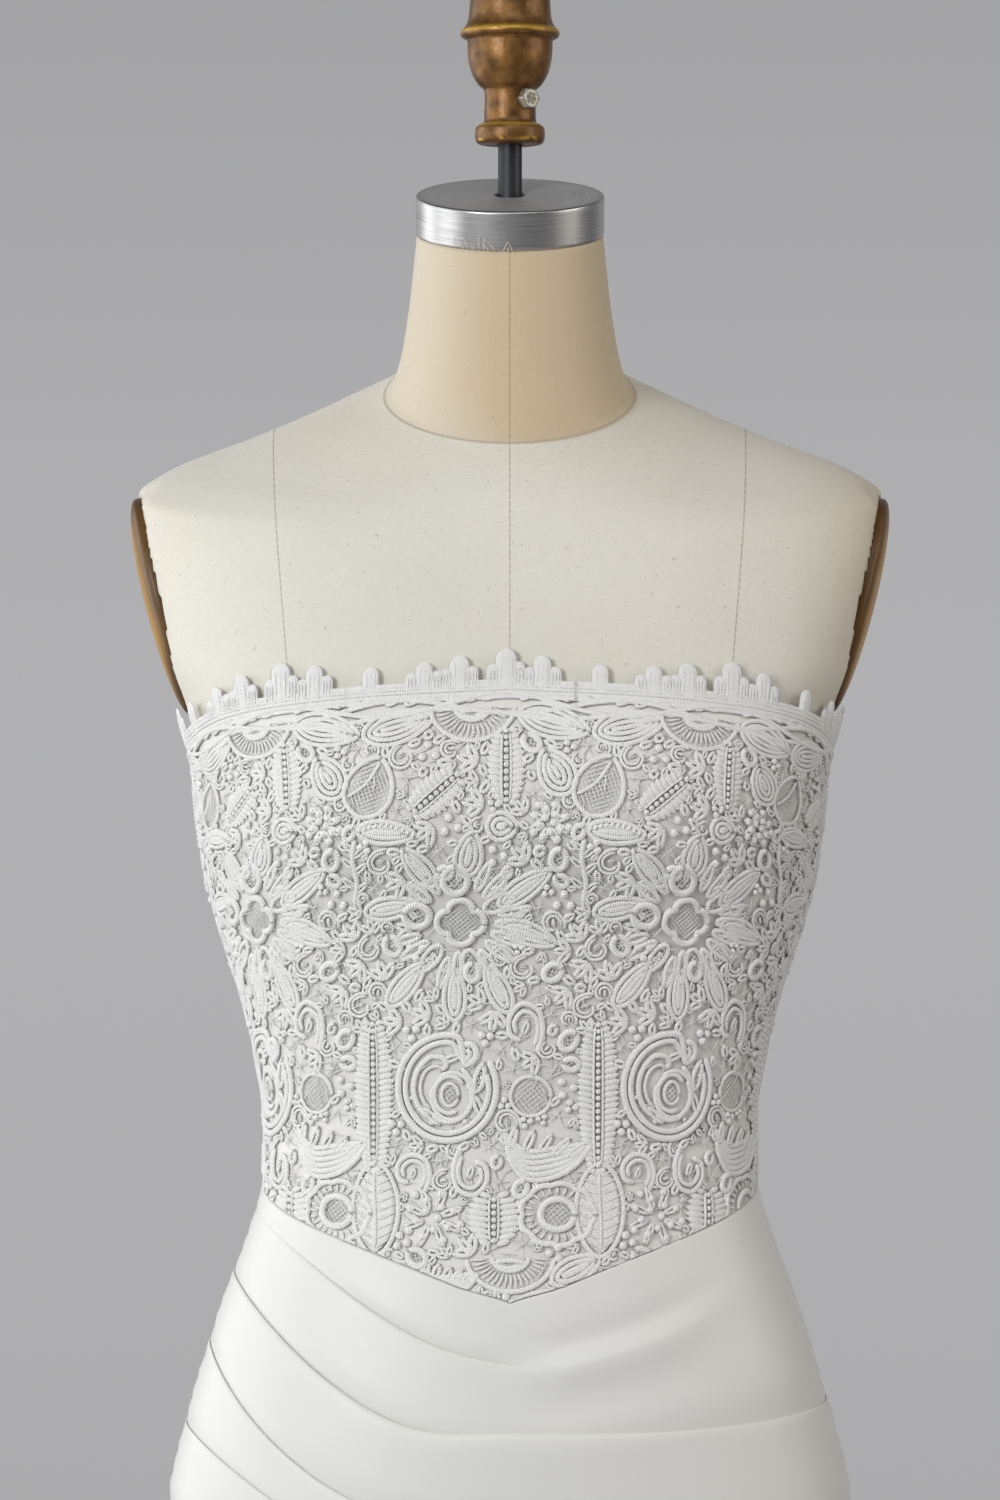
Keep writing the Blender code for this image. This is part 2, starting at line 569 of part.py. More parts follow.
def make_skirt():
    satin = material("skirt_satin", SATIN, 0.38)
    columns = 21
    end = math.pi / 2 - GAP / 2 / 0.15
    angles = np.linspace(-end, end, columns)
    t = (angles + math.pi / 2) / math.pi
    lines = [fold_line(fold, t) for fold in FOLDS]
    depths = [fold.depth * (1 - smoothstep((t - fold.reach + 0.25) / 0.25)) for fold in FOLDS]
    heights, rises = folded_rows(waistline(angles) - GAP / 2, lines, depths, np.full(columns, HEM), 4)
    grid = np.repeat(angles[None, :], len(heights), axis=0)
    panel("skirt_front", grid, heights, SKIRT_INNER, SKIRT_OUTER + rises, satin)

    columns = 10
    share = np.linspace(0, 1, columns)
    for name, side in (("skirt_back_left", -1), ("skirt_back_right", 1)):
        folds = FOLDS if side < 0 else ()
        lines = [fold.left_seam - 0.055 * smoothstep(share / 0.6) for fold in folds]
        depths = [fold.depth * (1 - smoothstep(share / BACK_FOLD_REACH)) for fold in folds]
        top, hem = np.full(columns, WAIST_SIDE - GAP / 2), np.full(columns, HEM)
        if folds:
            heights, rises = folded_rows(top, lines, depths, hem, 3)
            heights, rises = heights[:, ::-1], rises[:, ::-1]
        else:
            heights = np.linspace(top, hem, 11)
            rises = np.zeros_like(heights)
        above = round(len(heights) * 0.4)
        upper = np.linspace(top[0], ZIP_END, above)
        at_centre = np.concatenate([upper, np.linspace(ZIP_END - 0.004, HEM, len(heights) - above)])
        to_centre = smoothstep((share[::side] - 0.5) / 0.5)
        heights = heights * (1 - to_centre) + at_centre[:, None] * to_centre
        half_gap = np.where(at_centre >= ZIP_END, ZIP_HALF_WIDTH + GAP, GAP / 2)
        low, high = back_edges(at_centre, side, half_gap)
        grid = low[:, None] + (high - low)[:, None] * share[None, :]
        panel(name, grid, heights, SKIRT_INNER, SKIRT_OUTER + rises, satin)


def turned(name, profile, finish, steps=40):
    """A solid of revolution about Z, from (radius, height) points down its outer side."""
    mesh = bpy.data.meshes.new(name)
    mesh.from_pydata([(r, 0, z) for r, z in profile], [(i, i + 1) for i in range(len(profile) - 1)], [])
    obj = add(name, mesh, finish)
    screw = obj.modifiers.new("turn", "SCREW")
    screw.steps = screw.render_steps = steps
    screw.use_merge_vertices = True
    screw.merge_threshold = 0.00001
    return obj


def settled(obj):
    """Applies an object's modifiers, so that another can be cut from it."""
    graph = bpy.context.evaluated_depsgraph_get()
    mesh = bpy.data.meshes.new_from_object(obj.evaluated_get(graph))
    obj.modifiers.clear()
    obj.data = mesh
    return obj


def cut(obj, cutter):
    knife = obj.modifiers.new("cut", "BOOLEAN")
    knife.operation = "DIFFERENCE"
    knife.object = cutter
    cutter.hide_render = True
    cutter.display_type = "WIRE"


def cylinder(name, radius, length, sides):
    """A cylinder about Z through its origin, for cutting or joining."""
    shape = bmesh.new()
    bmesh.ops.create_cone(shape, cap_ends=True, segments=sides, radius1=radius, radius2=radius, depth=length)
    mesh = bpy.data.meshes.new(name)
    shape.to_mesh(mesh)
    shape.free()
    obj = bpy.data.objects.new(name, mesh)
    CUTTERS.objects.link(obj)
    return obj


def armhole_matrix(side, out):
    """Placed on the armhole's leaning plane, its local Z facing out."""
    x, y, z = ARMHOLE_CENTRE
    lean = Matrix.Rotation(side * (math.pi / 2 + ARMHOLE_LEAN), 4, "Y")
    return Matrix.Translation((side * x, y, z)) @ lean @ Matrix.Translation((0, 0, out))


def make_torso():
    """The padded torso: a loft of its sections, closed at the neck and the hips, with two flat armholes."""
    linen = material("form_linen", LINEN, 0.85)
    heights = np.concatenate([[FORM_BOTTOM, FORM_BOTTOM + 0.006], np.linspace(0.82, 1.23, 9), HEIGHTS[17:]])
    away = np.where(heights < FORM_BOTTOM + 0.001, -0.005, -FORM_INSET * smoothstep((1.290 - heights) / 0.03))
    angles = np.linspace(0, 2 * math.pi, FORM_COLUMNS, endpoint=False)
    rings = cloth(angles[None, :], heights[:, None], away[:, None])
    rings[0, :, 2] = FORM_BOTTOM
    shell = bmesh.new()
    verts = [[shell.verts.new(p) for p in ring] for ring in rings]
    for lower, upper in zip(verts, verts[1:]):
        for j in range(FORM_COLUMNS):
            k = (j + 1) % FORM_COLUMNS
            shell.faces.new((lower[j], lower[k], upper[k], upper[j]))
    shell.faces.new(verts[0][::-1])
    shell.faces.new(verts[-1])
    bmesh.ops.recalc_face_normals(shell, faces=shell.faces)
    mesh = bpy.data.meshes.new("form_body")
    shell.to_mesh(mesh)
    shell.free()
    body = add("form_body", mesh, linen)
    for side in (1, -1):
        cutter = cylinder(f"armhole_{side}", 1.0, 0.06, 32)
        cutter.matrix_world = armhole_matrix(side, 0.03 - PLATE_BELOW) @ Matrix.Diagonal(
            (ARMHOLE_HALF_HEIGHT, ARMHOLE_HALF_DEPTH, 1, 1)
        )
        cut(body, cutter)


def make_armhole_plates():
    ochre = material("armhole_paint", OCHRE, 0.35)
    edge = 0.0035
    rise = PLATE_RISE + PLATE_BELOW - edge
    dome = [(math.sin(a), edge + rise * math.cos(a)) for a in np.radians(range(0, 91, 18))]
    for name, side in (("armhole_plate_right", 1), ("armhole_plate_left", -1)):
        plate = turned(name, [(0.0, dome[0][1]), *dome[1:], (1.0, 0.0), (0.0, 0.0)], ochre, 24)
        plate.matrix_world = armhole_matrix(side, GAP - PLATE_BELOW) @ Matrix.Diagonal(
            (ARMHOLE_HALF_HEIGHT - GAP, ARMHOLE_HALF_DEPTH - GAP, 1, 1)
        )


def make_neck():
    """The steel cap on the neck, the black rod that stands on it, and the turned finial with its set screw."""
    lean = math.atan(NECK_TOP.tilt)
    seat = Matrix.Translation((0, 0, NECK_TOP.height)) @ Matrix.Rotation(lean, 4, "X")
    cap = turned(
        "neck_cap",
        [
            (0.0, CAP_HEIGHT),
            (CAP_RADIUS - CAP_ROUND, CAP_HEIGHT),
            (CAP_RADIUS - 0.0004, CAP_HEIGHT - 0.0005),
            (CAP_RADIUS, CAP_HEIGHT - CAP_ROUND),
            (CAP_RADIUS, 0.0),
            (0.0, 0.0),
        ],
        material("neck_steel", STEEL, 0.3, 1.0),
        32,
    )
    cap.matrix_world = seat @ Matrix.Translation((0, 0, GAP))
    rod_hole = cylinder("rod_hole", ROD_HOLE, 0.06, 20)
    rod_hole.location = (0, 0, NECK_TOP.height + CAP_HEIGHT / 2)
    cut(cap, rod_hole)

    rod_foot = NECK_TOP.height + ROD_RADIUS * NECK_TOP.tilt + GAP
    turned(
        "neck_rod",
        [(0.0, rod_foot + ROD_LENGTH), (ROD_RADIUS, rod_foot + ROD_LENGTH), (ROD_RADIUS, rod_foot), (0.0, rod_foot)],
        material("rod_black", BLACK, 0.35, 0.6),
        20,
    )

    bore = ROD_RADIUS + GAP
    bore_top = rod_foot + ROD_LENGTH + GAP
    profile = [(r, FINIAL_BOTTOM + z) for r, z in FINIAL_PROFILE]
    profile += [(bore, FINIAL_BOTTOM), (bore, bore_top), (0.0, bore_top)]
    finial = settled(turned("finial", profile, material("finial_bronze", BRONZE, 0.4, 0.3), 20))

    out = Vector((math.sin(SCREW_TURN), -math.cos(SCREW_TURN), 0))
    aim = Vector((0, 0, 1)).rotation_difference(out).to_matrix().to_4x4()
    cutter = cylinder("screw_hole", SCREW_SHANK + GAP, 0.014, 14)
    cutter.matrix_world = Matrix.Translation(Vector((0, 0, SCREW_HEIGHT)) + out * (FINIAL_STEM - 0.0005)) @ aim
    cut(finial, cutter)

    bolt = bmesh.new()
    start, end = ROD_RADIUS + GAP, FINIAL_STEM + SCREW_SUNK
    bmesh.ops.create_cone(
        bolt, cap_ends=True, segments=12, radius1=SCREW_SHANK, radius2=SCREW_SHANK, depth=end - start,
        matrix=Matrix.Translation((0, 0, (start + end) / 2)),
    )
    mesh = bpy.data.meshes.new("finial_screw")
    bolt.to_mesh(mesh)
    bolt.free()
    screw = add("finial_screw", mesh, material("screw_zinc", ZINC, 0.35, 1.0))
    screw.matrix_world = Matrix.Translation((0, 0, SCREW_HEIGHT)) @ aim
    hexagon = bmesh.new()
    bmesh.ops.create_cone(
        hexagon, cap_ends=True, segments=6, radius1=SCREW_HEAD, radius2=SCREW_HEAD, depth=SCREW_HEAD_DEEP,
        matrix=Matrix.Translation((0, 0, FINIAL_STEM + GAP + SCREW_HEAD_DEEP / 2)),
    )
    head_mesh = bpy.data.meshes.new("screw_head")
    hexagon.to_mesh(head_mesh)
    hexagon.free()
    head_object = bpy.data.objects.new("screw_head", head_mesh)
    CUTTERS.objects.link(head_object)
    head_object.matrix_world = screw.matrix_world
    join = screw.modifiers.new("head", "BOOLEAN")
    join.operation = "UNION"
    join.object = head_object
    head_object.hide_render = True
    head_object.display_type = "WIRE"


def make_stand():
    """The board under the torso, the collar that holds it, the pole, and the round iron base."""
    angles = np.linspace(0, 2 * math.pi, FORM_COLUMNS, endpoint=False)
    top = FORM_BOTTOM - GAP
    outline = cloth(angles, np.full(FORM_COLUMNS, FORM_BOTTOM), -BOARD_INSET)
    shape = bmesh.new()
    lower = [shape.verts.new((x, y, top - BOARD_THICK)) for x, y, _ in outline]
    upper = [shape.verts.new((x, y, top)) for x, y, _ in outline]
    for j in range(FORM_COLUMNS):
        k = (j + 1) % FORM_COLUMNS
        shape.faces.new((lower[j], lower[k], upper[k], upper[j]))
    shape.faces.new(lower[::-1])
    shape.faces.new(upper)
    bmesh.ops.recalc_face_normals(shape, faces=shape.faces)
    mesh = bpy.data.meshes.new("form_board")
    shape.to_mesh(mesh)
    shape.free()
    add("form_board", mesh, material("board_wood", WOOD, 0.6))

    black = material("stand_black", BLACK, 0.4, 0.6)
    under = top - BOARD_THICK - GAP
    bore = POLE_RADIUS + GAP
    turned(
        "stand_collar",
        [
            (bore, under),
            (COLLAR_FLANGE, under),
            (COLLAR_FLANGE, under - 0.004),
            (COLLAR_RADIUS, under - 0.009),
            (COLLAR_RADIUS, under - COLLAR_HEIGHT),
            (bore, under - COLLAR_HEIGHT),
            (bore, under),
        ],
        black,
        20,
    )
    turned(
        "stand_pole",
        [(0.0, under), (POLE_RADIUS, under), (POLE_RADIUS, SOCKET + GAP), (0.0, SOCKET + GAP)],
        black,
        20,
    )
    turned(
        "stand_base",
        [
            (bore, 0.046),
            (0.025, 0.046),
            (0.027, 0.043),
            (0.028, 0.026),
            (0.040, 0.020),
            (0.110, 0.0145),
            (BASE_RADIUS - 0.003, BASE_EDGE),
            (BASE_RADIUS, BASE_EDGE - 0.003),
            (BASE_RADIUS, 0.0),
            (0.0, 0.0),
            (0.0, SOCKET),
            (bore, SOCKET),
            (bore, 0.046),
        ],
        material("base_iron", BLACK, 0.5, 0.7),
        32,
    )


def make_zip():
    """The closed zip down the centre back, its slider, and the pull that hangs from the slider's pin."""
    tape = material("zip_tape", SATIN, 0.6)
    heights = np.linspace(ZIP_TOP, ZIP_END + 0.0005, 13)[:, None]
    radius = np.linalg.norm(torso(np.full(13, math.pi), heights[:, 0])[:, :2], axis=-1)[:, None]
    angles = math.pi + np.array([[-1, 1]]) * (ZIP_HALF_WIDTH - GAP / 2) / radius
    panel("zip_chain", angles, np.repeat(heights, 2, axis=1), ZIP_INNER, ZIP_OUTER, tape)

    metal = material("zip_metal", ENAMEL, 0.4, 0.2)
    body = SLIDER
    ends = np.array([body.height - body.length / 2, body.height + body.length / 2])
    back = float(torso(np.full(2, math.pi), ends)[:, 1].max())
    face = back + LACE_OUTER + 2 * GAP
    keel_from = back + ZIP_OUTER + 2 * GAP
    into = 0.0003  # how far the keel runs into the body
    blocks = [
        ((0, face + body.thick / 2, body.height), (body.width, body.thick, body.length)),
        ((0, (keel_from + face) / 2 + into, body.height), (KEEL_WIDTH, face - keel_from + 2 * into, body.length)),
        ((body.ear_at, face + body.thick + 0.0010, PIN_HEIGHT), EAR),
        ((-body.ear_at, face + body.thick + 0.0010, PIN_HEIGHT), EAR),
    ]
    pieces = []
    for k, (where, size) in enumerate(blocks):
        shape = bmesh.new()
        bmesh.ops.create_cube(shape, size=1, matrix=Matrix.Translation(where) @ Matrix.Diagonal((*size, 1)))
        mesh = bpy.data.meshes.new(f"slider_block_{k}")
        shape.to_mesh(mesh)
        shape.free()
        pieces.append(mesh)
    shape = bmesh.new()
    pin_y = face + body.thick + 0.0016
    spin = Matrix.Rotation(math.pi / 2, 4, "Y")
    bmesh.ops.create_cone(
        shape, cap_ends=True, segments=12, radius1=PIN_RADIUS, radius2=PIN_RADIUS, depth=2 * body.ear_at,
        matrix=Matrix.Translation((0, pin_y, PIN_HEIGHT)) @ spin,
    )
    mesh = bpy.data.meshes.new("slider_pin")
    shape.to_mesh(mesh)
    shape.free()
    pieces.append(mesh)
    slider = add("zip_slider", pieces[0], metal)
    for mesh in pieces[1:]:
        extra = bpy.data.objects.new(mesh.name, mesh)
        CUTTERS.objects.link(extra)
        extra.hide_render = True
        extra.display_type = "WIRE"
        join = slider.modifiers.new(mesh.name, "BOOLEAN")
        join.operation = "UNION"
        join.object = extra

    length, thick = PULL_LENGTH, PULL_THICK
    right = [(0.0014, -length), (0.0027, -0.85 * length), (0.0021, -0.35 * length)]
    right += [(0.0009, -0.0030), (0.0009, 0.0)]
    outline = [(-x, z) for x, z in reversed(right)] + right
    shape = bmesh.new()
    front = [shape.verts.new((x, -thick / 2, z)) for x, z in outline]
    rear = [shape.verts.new((x, thick / 2, z)) for x, z in outline]
    shape.faces.new(front)
    shape.faces.new(rear[::-1])
    for i in range(len(outline)):
        j = (i + 1) % len(outline)
        shape.faces.new((front[i], rear[i], rear[j], front[j]))
    bmesh.ops.recalc_face_normals(shape, faces=shape.faces)
    mesh = bpy.data.meshes.new("zip_pull")
    shape.to_mesh(mesh)
    shape.free()
    pull = add("zip_pull", mesh, metal)
    pull.location = (0, pin_y, PIN_HEIGHT)
    for label, radius, depth, operation in (("barrel", PULL_BARREL, 0.0022, "UNION"), ("eye", PULL_HOLE, 0.0060, "DIFFERENCE")):
        shape = bmesh.new()
        bmesh.ops.create_cone(shape, cap_ends=True, segments=16, radius1=radius, radius2=radius, depth=depth, matrix=spin)
        mesh = bpy.data.meshes.new(f"pull_{label}")
        shape.to_mesh(mesh)
        shape.free()
        extra = bpy.data.objects.new(f"pull_{label}", mesh)
        CUTTERS.objects.link(extra)
        extra.location = pull.location
        extra.hide_render = True
        extra.display_type = "WIRE"
        join = pull.modifiers.new(label, "BOOLEAN")
        join.operation = operation
        join.object = extra



clear_scene()
PIECES = collection("corset dress on a dress form")
CUTTERS = collection("cutters")
GIRTH = girth_table()
make_torso()
make_armhole_plates()
make_neck()
make_stand()
make_lining()
LACE_FINISH = material("lace_cotton", LACE, 0.8)
make_lace("lace_front", 0, LACE_FINISH)
make_lace("lace_back_right", 1, LACE_FINISH)
make_lace("lace_back_left", -1, LACE_FINISH)
make_skirt()
make_zip()
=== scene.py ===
import math
from collections import namedtuple

import bpy
import numpy as np
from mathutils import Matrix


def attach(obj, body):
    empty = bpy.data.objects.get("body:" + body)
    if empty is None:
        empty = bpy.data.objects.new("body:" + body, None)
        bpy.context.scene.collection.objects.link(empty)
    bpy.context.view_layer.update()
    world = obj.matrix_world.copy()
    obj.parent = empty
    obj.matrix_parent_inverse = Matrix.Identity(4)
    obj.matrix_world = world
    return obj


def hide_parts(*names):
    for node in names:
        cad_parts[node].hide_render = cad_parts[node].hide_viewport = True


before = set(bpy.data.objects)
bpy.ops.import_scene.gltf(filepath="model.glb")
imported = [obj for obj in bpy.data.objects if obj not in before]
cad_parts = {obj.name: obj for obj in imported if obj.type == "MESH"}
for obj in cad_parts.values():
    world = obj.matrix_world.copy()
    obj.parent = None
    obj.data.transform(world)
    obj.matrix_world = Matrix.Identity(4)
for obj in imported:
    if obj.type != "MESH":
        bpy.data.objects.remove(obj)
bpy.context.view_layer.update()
BODY = "dress_and_form"

# The studio: a level camera at the height of the bust and a pale floor. The main soft light is left of the
# camera, two tall ones stand further round on the left, one hangs high in front and a warm card is on the
# right.
SCENE = bpy.context.scene
SCENE.view_settings.view_transform = "Standard"
EYE_HEIGHT, EYE_AWAY, EYE_ASIDE, FIELD_HEIGHT = 1.241, 3.0, -0.005, 0.75
eye = bpy.data.cameras.new("photo_camera")
eye.sensor_width = 36
eye.lens = eye.sensor_width * EYE_AWAY / FIELD_HEIGHT
photo_camera = bpy.data.objects.new("photo_camera", eye)
photo_camera.location = (EYE_ASIDE, -EYE_AWAY, EYE_HEIGHT)
photo_camera.rotation_euler = (math.pi / 2, 0, 0)
SCENE.collection.objects.link(photo_camera)
SCENE.camera = photo_camera


def soft_light(name, at, aimed_at, size, watts, colour=(1, 1, 1)):
    lamp = bpy.data.lights.new(name, "AREA")
    lamp.shape, lamp.size, lamp.size_y, lamp.energy, lamp.color = "RECTANGLE", *size, watts, colour
    obj = bpy.data.objects.new(name, lamp)
    obj.location = at
    way = np.subtract(aimed_at, at)
    tip, spin = math.acos(-way[2] / np.linalg.norm(way)), math.atan2(way[1], way[0]) - math.pi / 2
    obj.rotation_euler = (tip, 0, spin)
    SCENE.collection.objects.link(obj)


soft_light("left_window", (-2.25, -0.25, 1.45), (0, 0, 1.20), (1.3, 2.2), 18)
soft_light("left_back", (-1.9, 1.0, 1.5), (0, 0, 1.2), (0.8, 2.0), 13)
soft_light("over_camera_left", (-1.7, -2.5, 1.9), (0, 0, 1.15), (1.2, 1.4), 52)
soft_light("high_front", (0.3, -2.0, 3.0), (0, 0, 1.2), (1.8, 1.2), 15)
soft_light("right_card", (2.2, -0.6, 1.85), (0, 0, 1.25), (1.3, 1.6), 16, (1.0, 0.93, 0.85))
SCENE.world = bpy.data.worlds.new("room")
SCENE.world.use_nodes = True


class Wire:
    """One output of a material's nodes. + - * on it add Math nodes, and node() adds any other kind."""

    def __init__(self, tree, socket=None):
        self.tree, self.socket = tree, socket

    def node(self, kind, feeds, out=0, **settings):
        """Adds a node, sets its settings, then feeds its sockets with wires or values, and gives one
        output."""
        made = self.tree.nodes.new(kind)
        for name, value in settings.items():
            setattr(made, name, value)
        for name, value in feeds.items():
            if isinstance(value, Wire):
                self.tree.links.new(value.socket, made.inputs[name])
            else:
                made.inputs[name].default_value = value
        return Wire(self.tree, made.outputs[out])

    def math(self, operation, *values):
        return self.node("ShaderNodeMath", dict(enumerate(values)), operation=operation)

    def __add__(self, other):
        return self.math("ADD", self, other)

    def __sub__(self, other):
        return self.math("SUBTRACT", self, other)

    def __mul__(self, other):
        return self.math("MULTIPLY", self, other)

    def __rsub__(self, other):
        return self.math("SUBTRACT", other, self)

    __radd__, __rmul__ = __add__, __mul__

    def wave(self, length):
        """A sine of this value, one wave a length."""
        return self.math("SINE", self * (2 * math.pi / length))

    def near(self, middle, half_width):
        """1 where this value is at the middle, falling to 0 half_width away."""
        return self.node(
            "ShaderNodeMapRange",
            {"Value": self.math("ABSOLUTE", self - middle), "From Min": half_width, "From Max": 0.0},
            interpolation_type="SMOOTHSTEP",
        )

    def over(self, low, high):
        """0 below low, 1 above high, smooth between."""
        feeds = {"Value": self, "From Min": low, "From Max": high}
        return self.node("ShaderNodeMapRange", feeds, interpolation_type="SMOOTHSTEP")

    def mixed(self, first, second):
        """The first colour where this value is 0, the second where it is 1."""
        first, second = ((*c, 1) if isinstance(c, tuple) else c for c in (first, second))
        return self.node("ShaderNodeMix", {0: self, 6: first, 7: second}, out=2, data_type="RGBA")

    def noise(self, where, scale, detail=2.0, stretch=(1, 1, 1)):
        """Cloudy noise from 0 to 1 at places, drawn out along an axis by a smaller stretch."""
        placed = self.node("ShaderNodeMapping", {"Vector": where, "Scale": stretch})
        return self.node("ShaderNodeTexNoise", {"Vector": placed, "Scale": scale, "Detail": detail})

    def bump(self, height, distance, strength=1.0):
        return self.node("ShaderNodeBump", {"Height": height, "Distance": distance, "Strength": strength})


def finish_named(name, fixed, **feeds):
    """A material: fixed values go on the shader's own sockets, and feeds(wire, place, uv) give what
    varies."""
    made = bpy.data.materials.new(name)
    made.use_nodes = True
    tree = made.node_tree
    shader = tree.nodes["Principled BSDF"]
    for socket, value in fixed.items():
        shader.inputs[socket].default_value = (*value, 1) if isinstance(value, tuple) else value
    start = Wire(tree)
    place = start.node("ShaderNodeTexCoord", {}, out="Object")
    uv = start.node("ShaderNodeUVMap", {}, uv_map="weave")
    for socket, recipe in feeds.items():
        tree.links.new(recipe(start, place, uv).socket, shader.inputs[socket.replace("_", " ")])
    return made


def axis_of(vector, k):
    return vector.node("ShaderNodeSeparateXYZ", {0: vector}, out=k)


# The room's own light: a wide pale backdrop far behind the stand, lightest at eye height. In front the room
# is dim, and it is a little brighter to both sides.
air = Wire(SCENE.world.node_tree)
looking = air.node("ShaderNodeTexCoord", {}, out="Generated")
sideways, behind, upwards = (axis_of(looking, k) for k in range(3))
off_level = upwards.over(0.0, 0.17) + 0.35 * (0 - upwards).over(0.0, 0.17)
backdrop = off_level.mixed((3.12, 3.12, 3.18), (2.50, 2.50, 2.55))
sides = air.math("ABSOLUTE", sideways).over(0.25, 0.98).mixed((0.50, 0.51, 0.53), (1.0, 1.0, 1.0))
room = SCENE.world.node_tree.nodes["Background"].inputs
SCENE.world.node_tree.links.new(behind.over(0.55, 0.80).mixed(sides, backdrop).socket, room["Color"])
room["Strength"].default_value = 0.14


def surface(name, points, quads, uv, material):
    """Puts points (n, 3), quads (m, 4) and a UV for each point into a smooth mesh object."""
    mesh = bpy.data.meshes.new(name)
    mesh.vertices.add(len(points))
    mesh.vertices.foreach_set("co", np.asarray(points, np.float32).ravel())
    mesh.loops.add(quads.size)
    mesh.loops.foreach_set("vertex_index", quads.ravel().astype(np.int32))
    mesh.polygons.add(len(quads))
    mesh.polygons.foreach_set("loop_start", np.arange(0, quads.size, 4, dtype=np.int32))
    mesh.update(calc_edges=True)
    layer = mesh.uv_layers.new(name="weave")
    layer.data.foreach_set("uv", np.asarray(uv, np.float32)[quads.ravel()].ravel())
    mesh.validate()
    mesh.shade_smooth()
    mesh.materials.append(material)
    obj = bpy.data.objects.new(name, mesh)
    SCENE.collection.objects.link(obj)
    return obj


def corners(i, next_i, j, next_j, columns):
    """Quads between two rows and two columns of a grid, as the numbers of their corners."""
    around = [i * columns + j, next_i * columns + j, next_i * columns + next_j, i * columns + next_j]
    return np.stack(around, -1).reshape(-1, 4)


def joined(parts):
    """Several (points, quads) as one, each part's corners numbered on from the part before."""
    starts = np.cumsum([0] + [len(points) for points, _ in parts])
    points = np.concatenate([points for points, _ in parts])
    return points, np.concatenate([quads + start for (_, quads), start in zip(parts, starts)])


def grid_quads(rows, columns, closed=False):
    """Corners of a grid's quads; a closed grid joins its last column to its first. Rows run down the
    outside."""
    i, j = np.meshgrid(np.arange(rows - 1), np.arange(columns if closed else columns - 1), indexing="ij")
    return corners(i, i + 1, j, (j + 1) % columns, columns)


def grid_surface(name, points, uv, material, closed=False):
    rows, columns = points.shape[:2]
    quads = grid_quads(rows, columns, closed)
    return surface(name, points.reshape(-1, 3), quads, uv.reshape(-1, 2), material)


FLOOR_REACH = 6.0
floor_x, floor_y = np.meshgrid(np.linspace(-1, 1, 13) * FLOOR_REACH, np.linspace(-1, 1, 13) * FLOOR_REACH)
points = np.stack([floor_x, floor_y, 0 * floor_x], -1)
paint = finish_named(
    "floor_paint",
    {"Base Color": (0.56, 0.56, 0.575), "Roughness": 0.95, "Specular IOR Level": 0.1},
    Normal=lambda w, place, uv: w.bump(w.noise(place, 40.0), 0.001, 0.1),
)
grid_surface("floor", points, points[..., :2], paint)

# The torso: a padded body under a tight linen cover. It is cut in panels and seamed down the centre, over the
# shoulders to the bust and round the base of the neck. The cover turns in at the armholes, round their
# plates.
Section = namedtuple("Section", "height half_width front back square tilt")
SECTIONS = (
    Section(0.520, 0.1660, 0.0930, 0.1080, 2.20, 0.00),
    Section(0.640, 0.1690, 0.0940, 0.1100, 2.20, 0.00),
    Section(0.755, 0.1690, 0.0950, 0.1120, 2.20, 0.00),
    Section(0.810, 0.1705, 0.0970, 0.1165, 2.20, 0.00),
    Section(0.866, 0.1680, 0.0975, 0.1180, 2.20, 0.00),
    Section(0.904, 0.1600, 0.0965, 0.1130, 2.20, 0.00),
    Section(0.935, 0.1510, 0.0935, 0.1045, 2.20, 0.00),
    Section(0.970, 0.1395, 0.0890, 0.0925, 2.15, 0.00),
    Section(1.000, 0.1280, 0.0845, 0.0835, 2.15, 0.00),
    Section(1.030, 0.1205, 0.0810, 0.0780, 2.15, 0.00),
    Section(1.060, 0.1200, 0.0805, 0.0765, 2.15, 0.00),
    Section(1.090, 0.1245, 0.0835, 0.0780, 2.15, 0.00),
    Section(1.120, 0.1320, 0.0885, 0.0815, 2.20, 0.00),
    Section(1.150, 0.1415, 0.0960, 0.0870, 2.25, 0.00),
    Section(1.178, 0.1490, 0.1060, 0.0920, 2.30, 0.00),
    Section(1.205, 0.1530, 0.1140, 0.0980, 2.35, 0.00),
    Section(1.230, 0.1555, 0.1150, 0.1015, 2.45, 0.00),
    Section(1.262, 0.1635, 0.1080, 0.1040, 2.60, 0.02),
    Section(1.290, 0.1745, 0.1010, 0.1030, 2.60, 0.05),
    Section(1.320, 0.1830, 0.0962, 0.0990, 2.60, 0.10),
    Section(1.350, 0.1880, 0.0908, 0.0950, 2.50, 0.17),
    Section(1.367, 0.1870, 0.0872, 0.0930, 2.30, 0.22),
    Section(1.377, 0.1740, 0.0843, 0.0910, 2.10, 0.25),
    Section(1.390, 0.1370, 0.0800, 0.0880, 1.95, 0.31),
    Section(1.405, 0.0960, 0.0720, 0.0810, 1.90, 0.38),
    Section(1.422, 0.0590, 0.0600, 0.0660, 2.00, 0.44),
    Section(1.458, 0.0510, 0.0530, 0.0550, 2.00, 0.36),
    Section(1.499, 0.0465, 0.0465, 0.0465, 2.00, 0.28),
)
SECTION_COLUMNS = {name: np.array([getattr(row, name) for row in SECTIONS]) for name in Section._fields}
BUST_HEIGHT, BUST_APART, BUST_RISE = 1.212, 0.072, 0.014
BUST_WIDE, BUST_ABOVE, BUST_BELOW = 0.062, 0.050, 0.042
FORM_INSET, FORM_BOTTOM = 0.0024, 0.755
ARMHOLE_HALF_HEIGHT, ARMHOLE_HALF_DEPTH = 0.056, 0.043
ARMHOLE_CENTRE, ARMHOLE_LEAN = (0.1750, 0.0, 1.3120), math.radians(14.5)
PLATE_RISE, PLATE_BELOW, PLATE_RIM = 0.0062, 0.0060, 0.0035
NECK_SEAM, BOTTOM_ROUND = 1.4185, 0.006


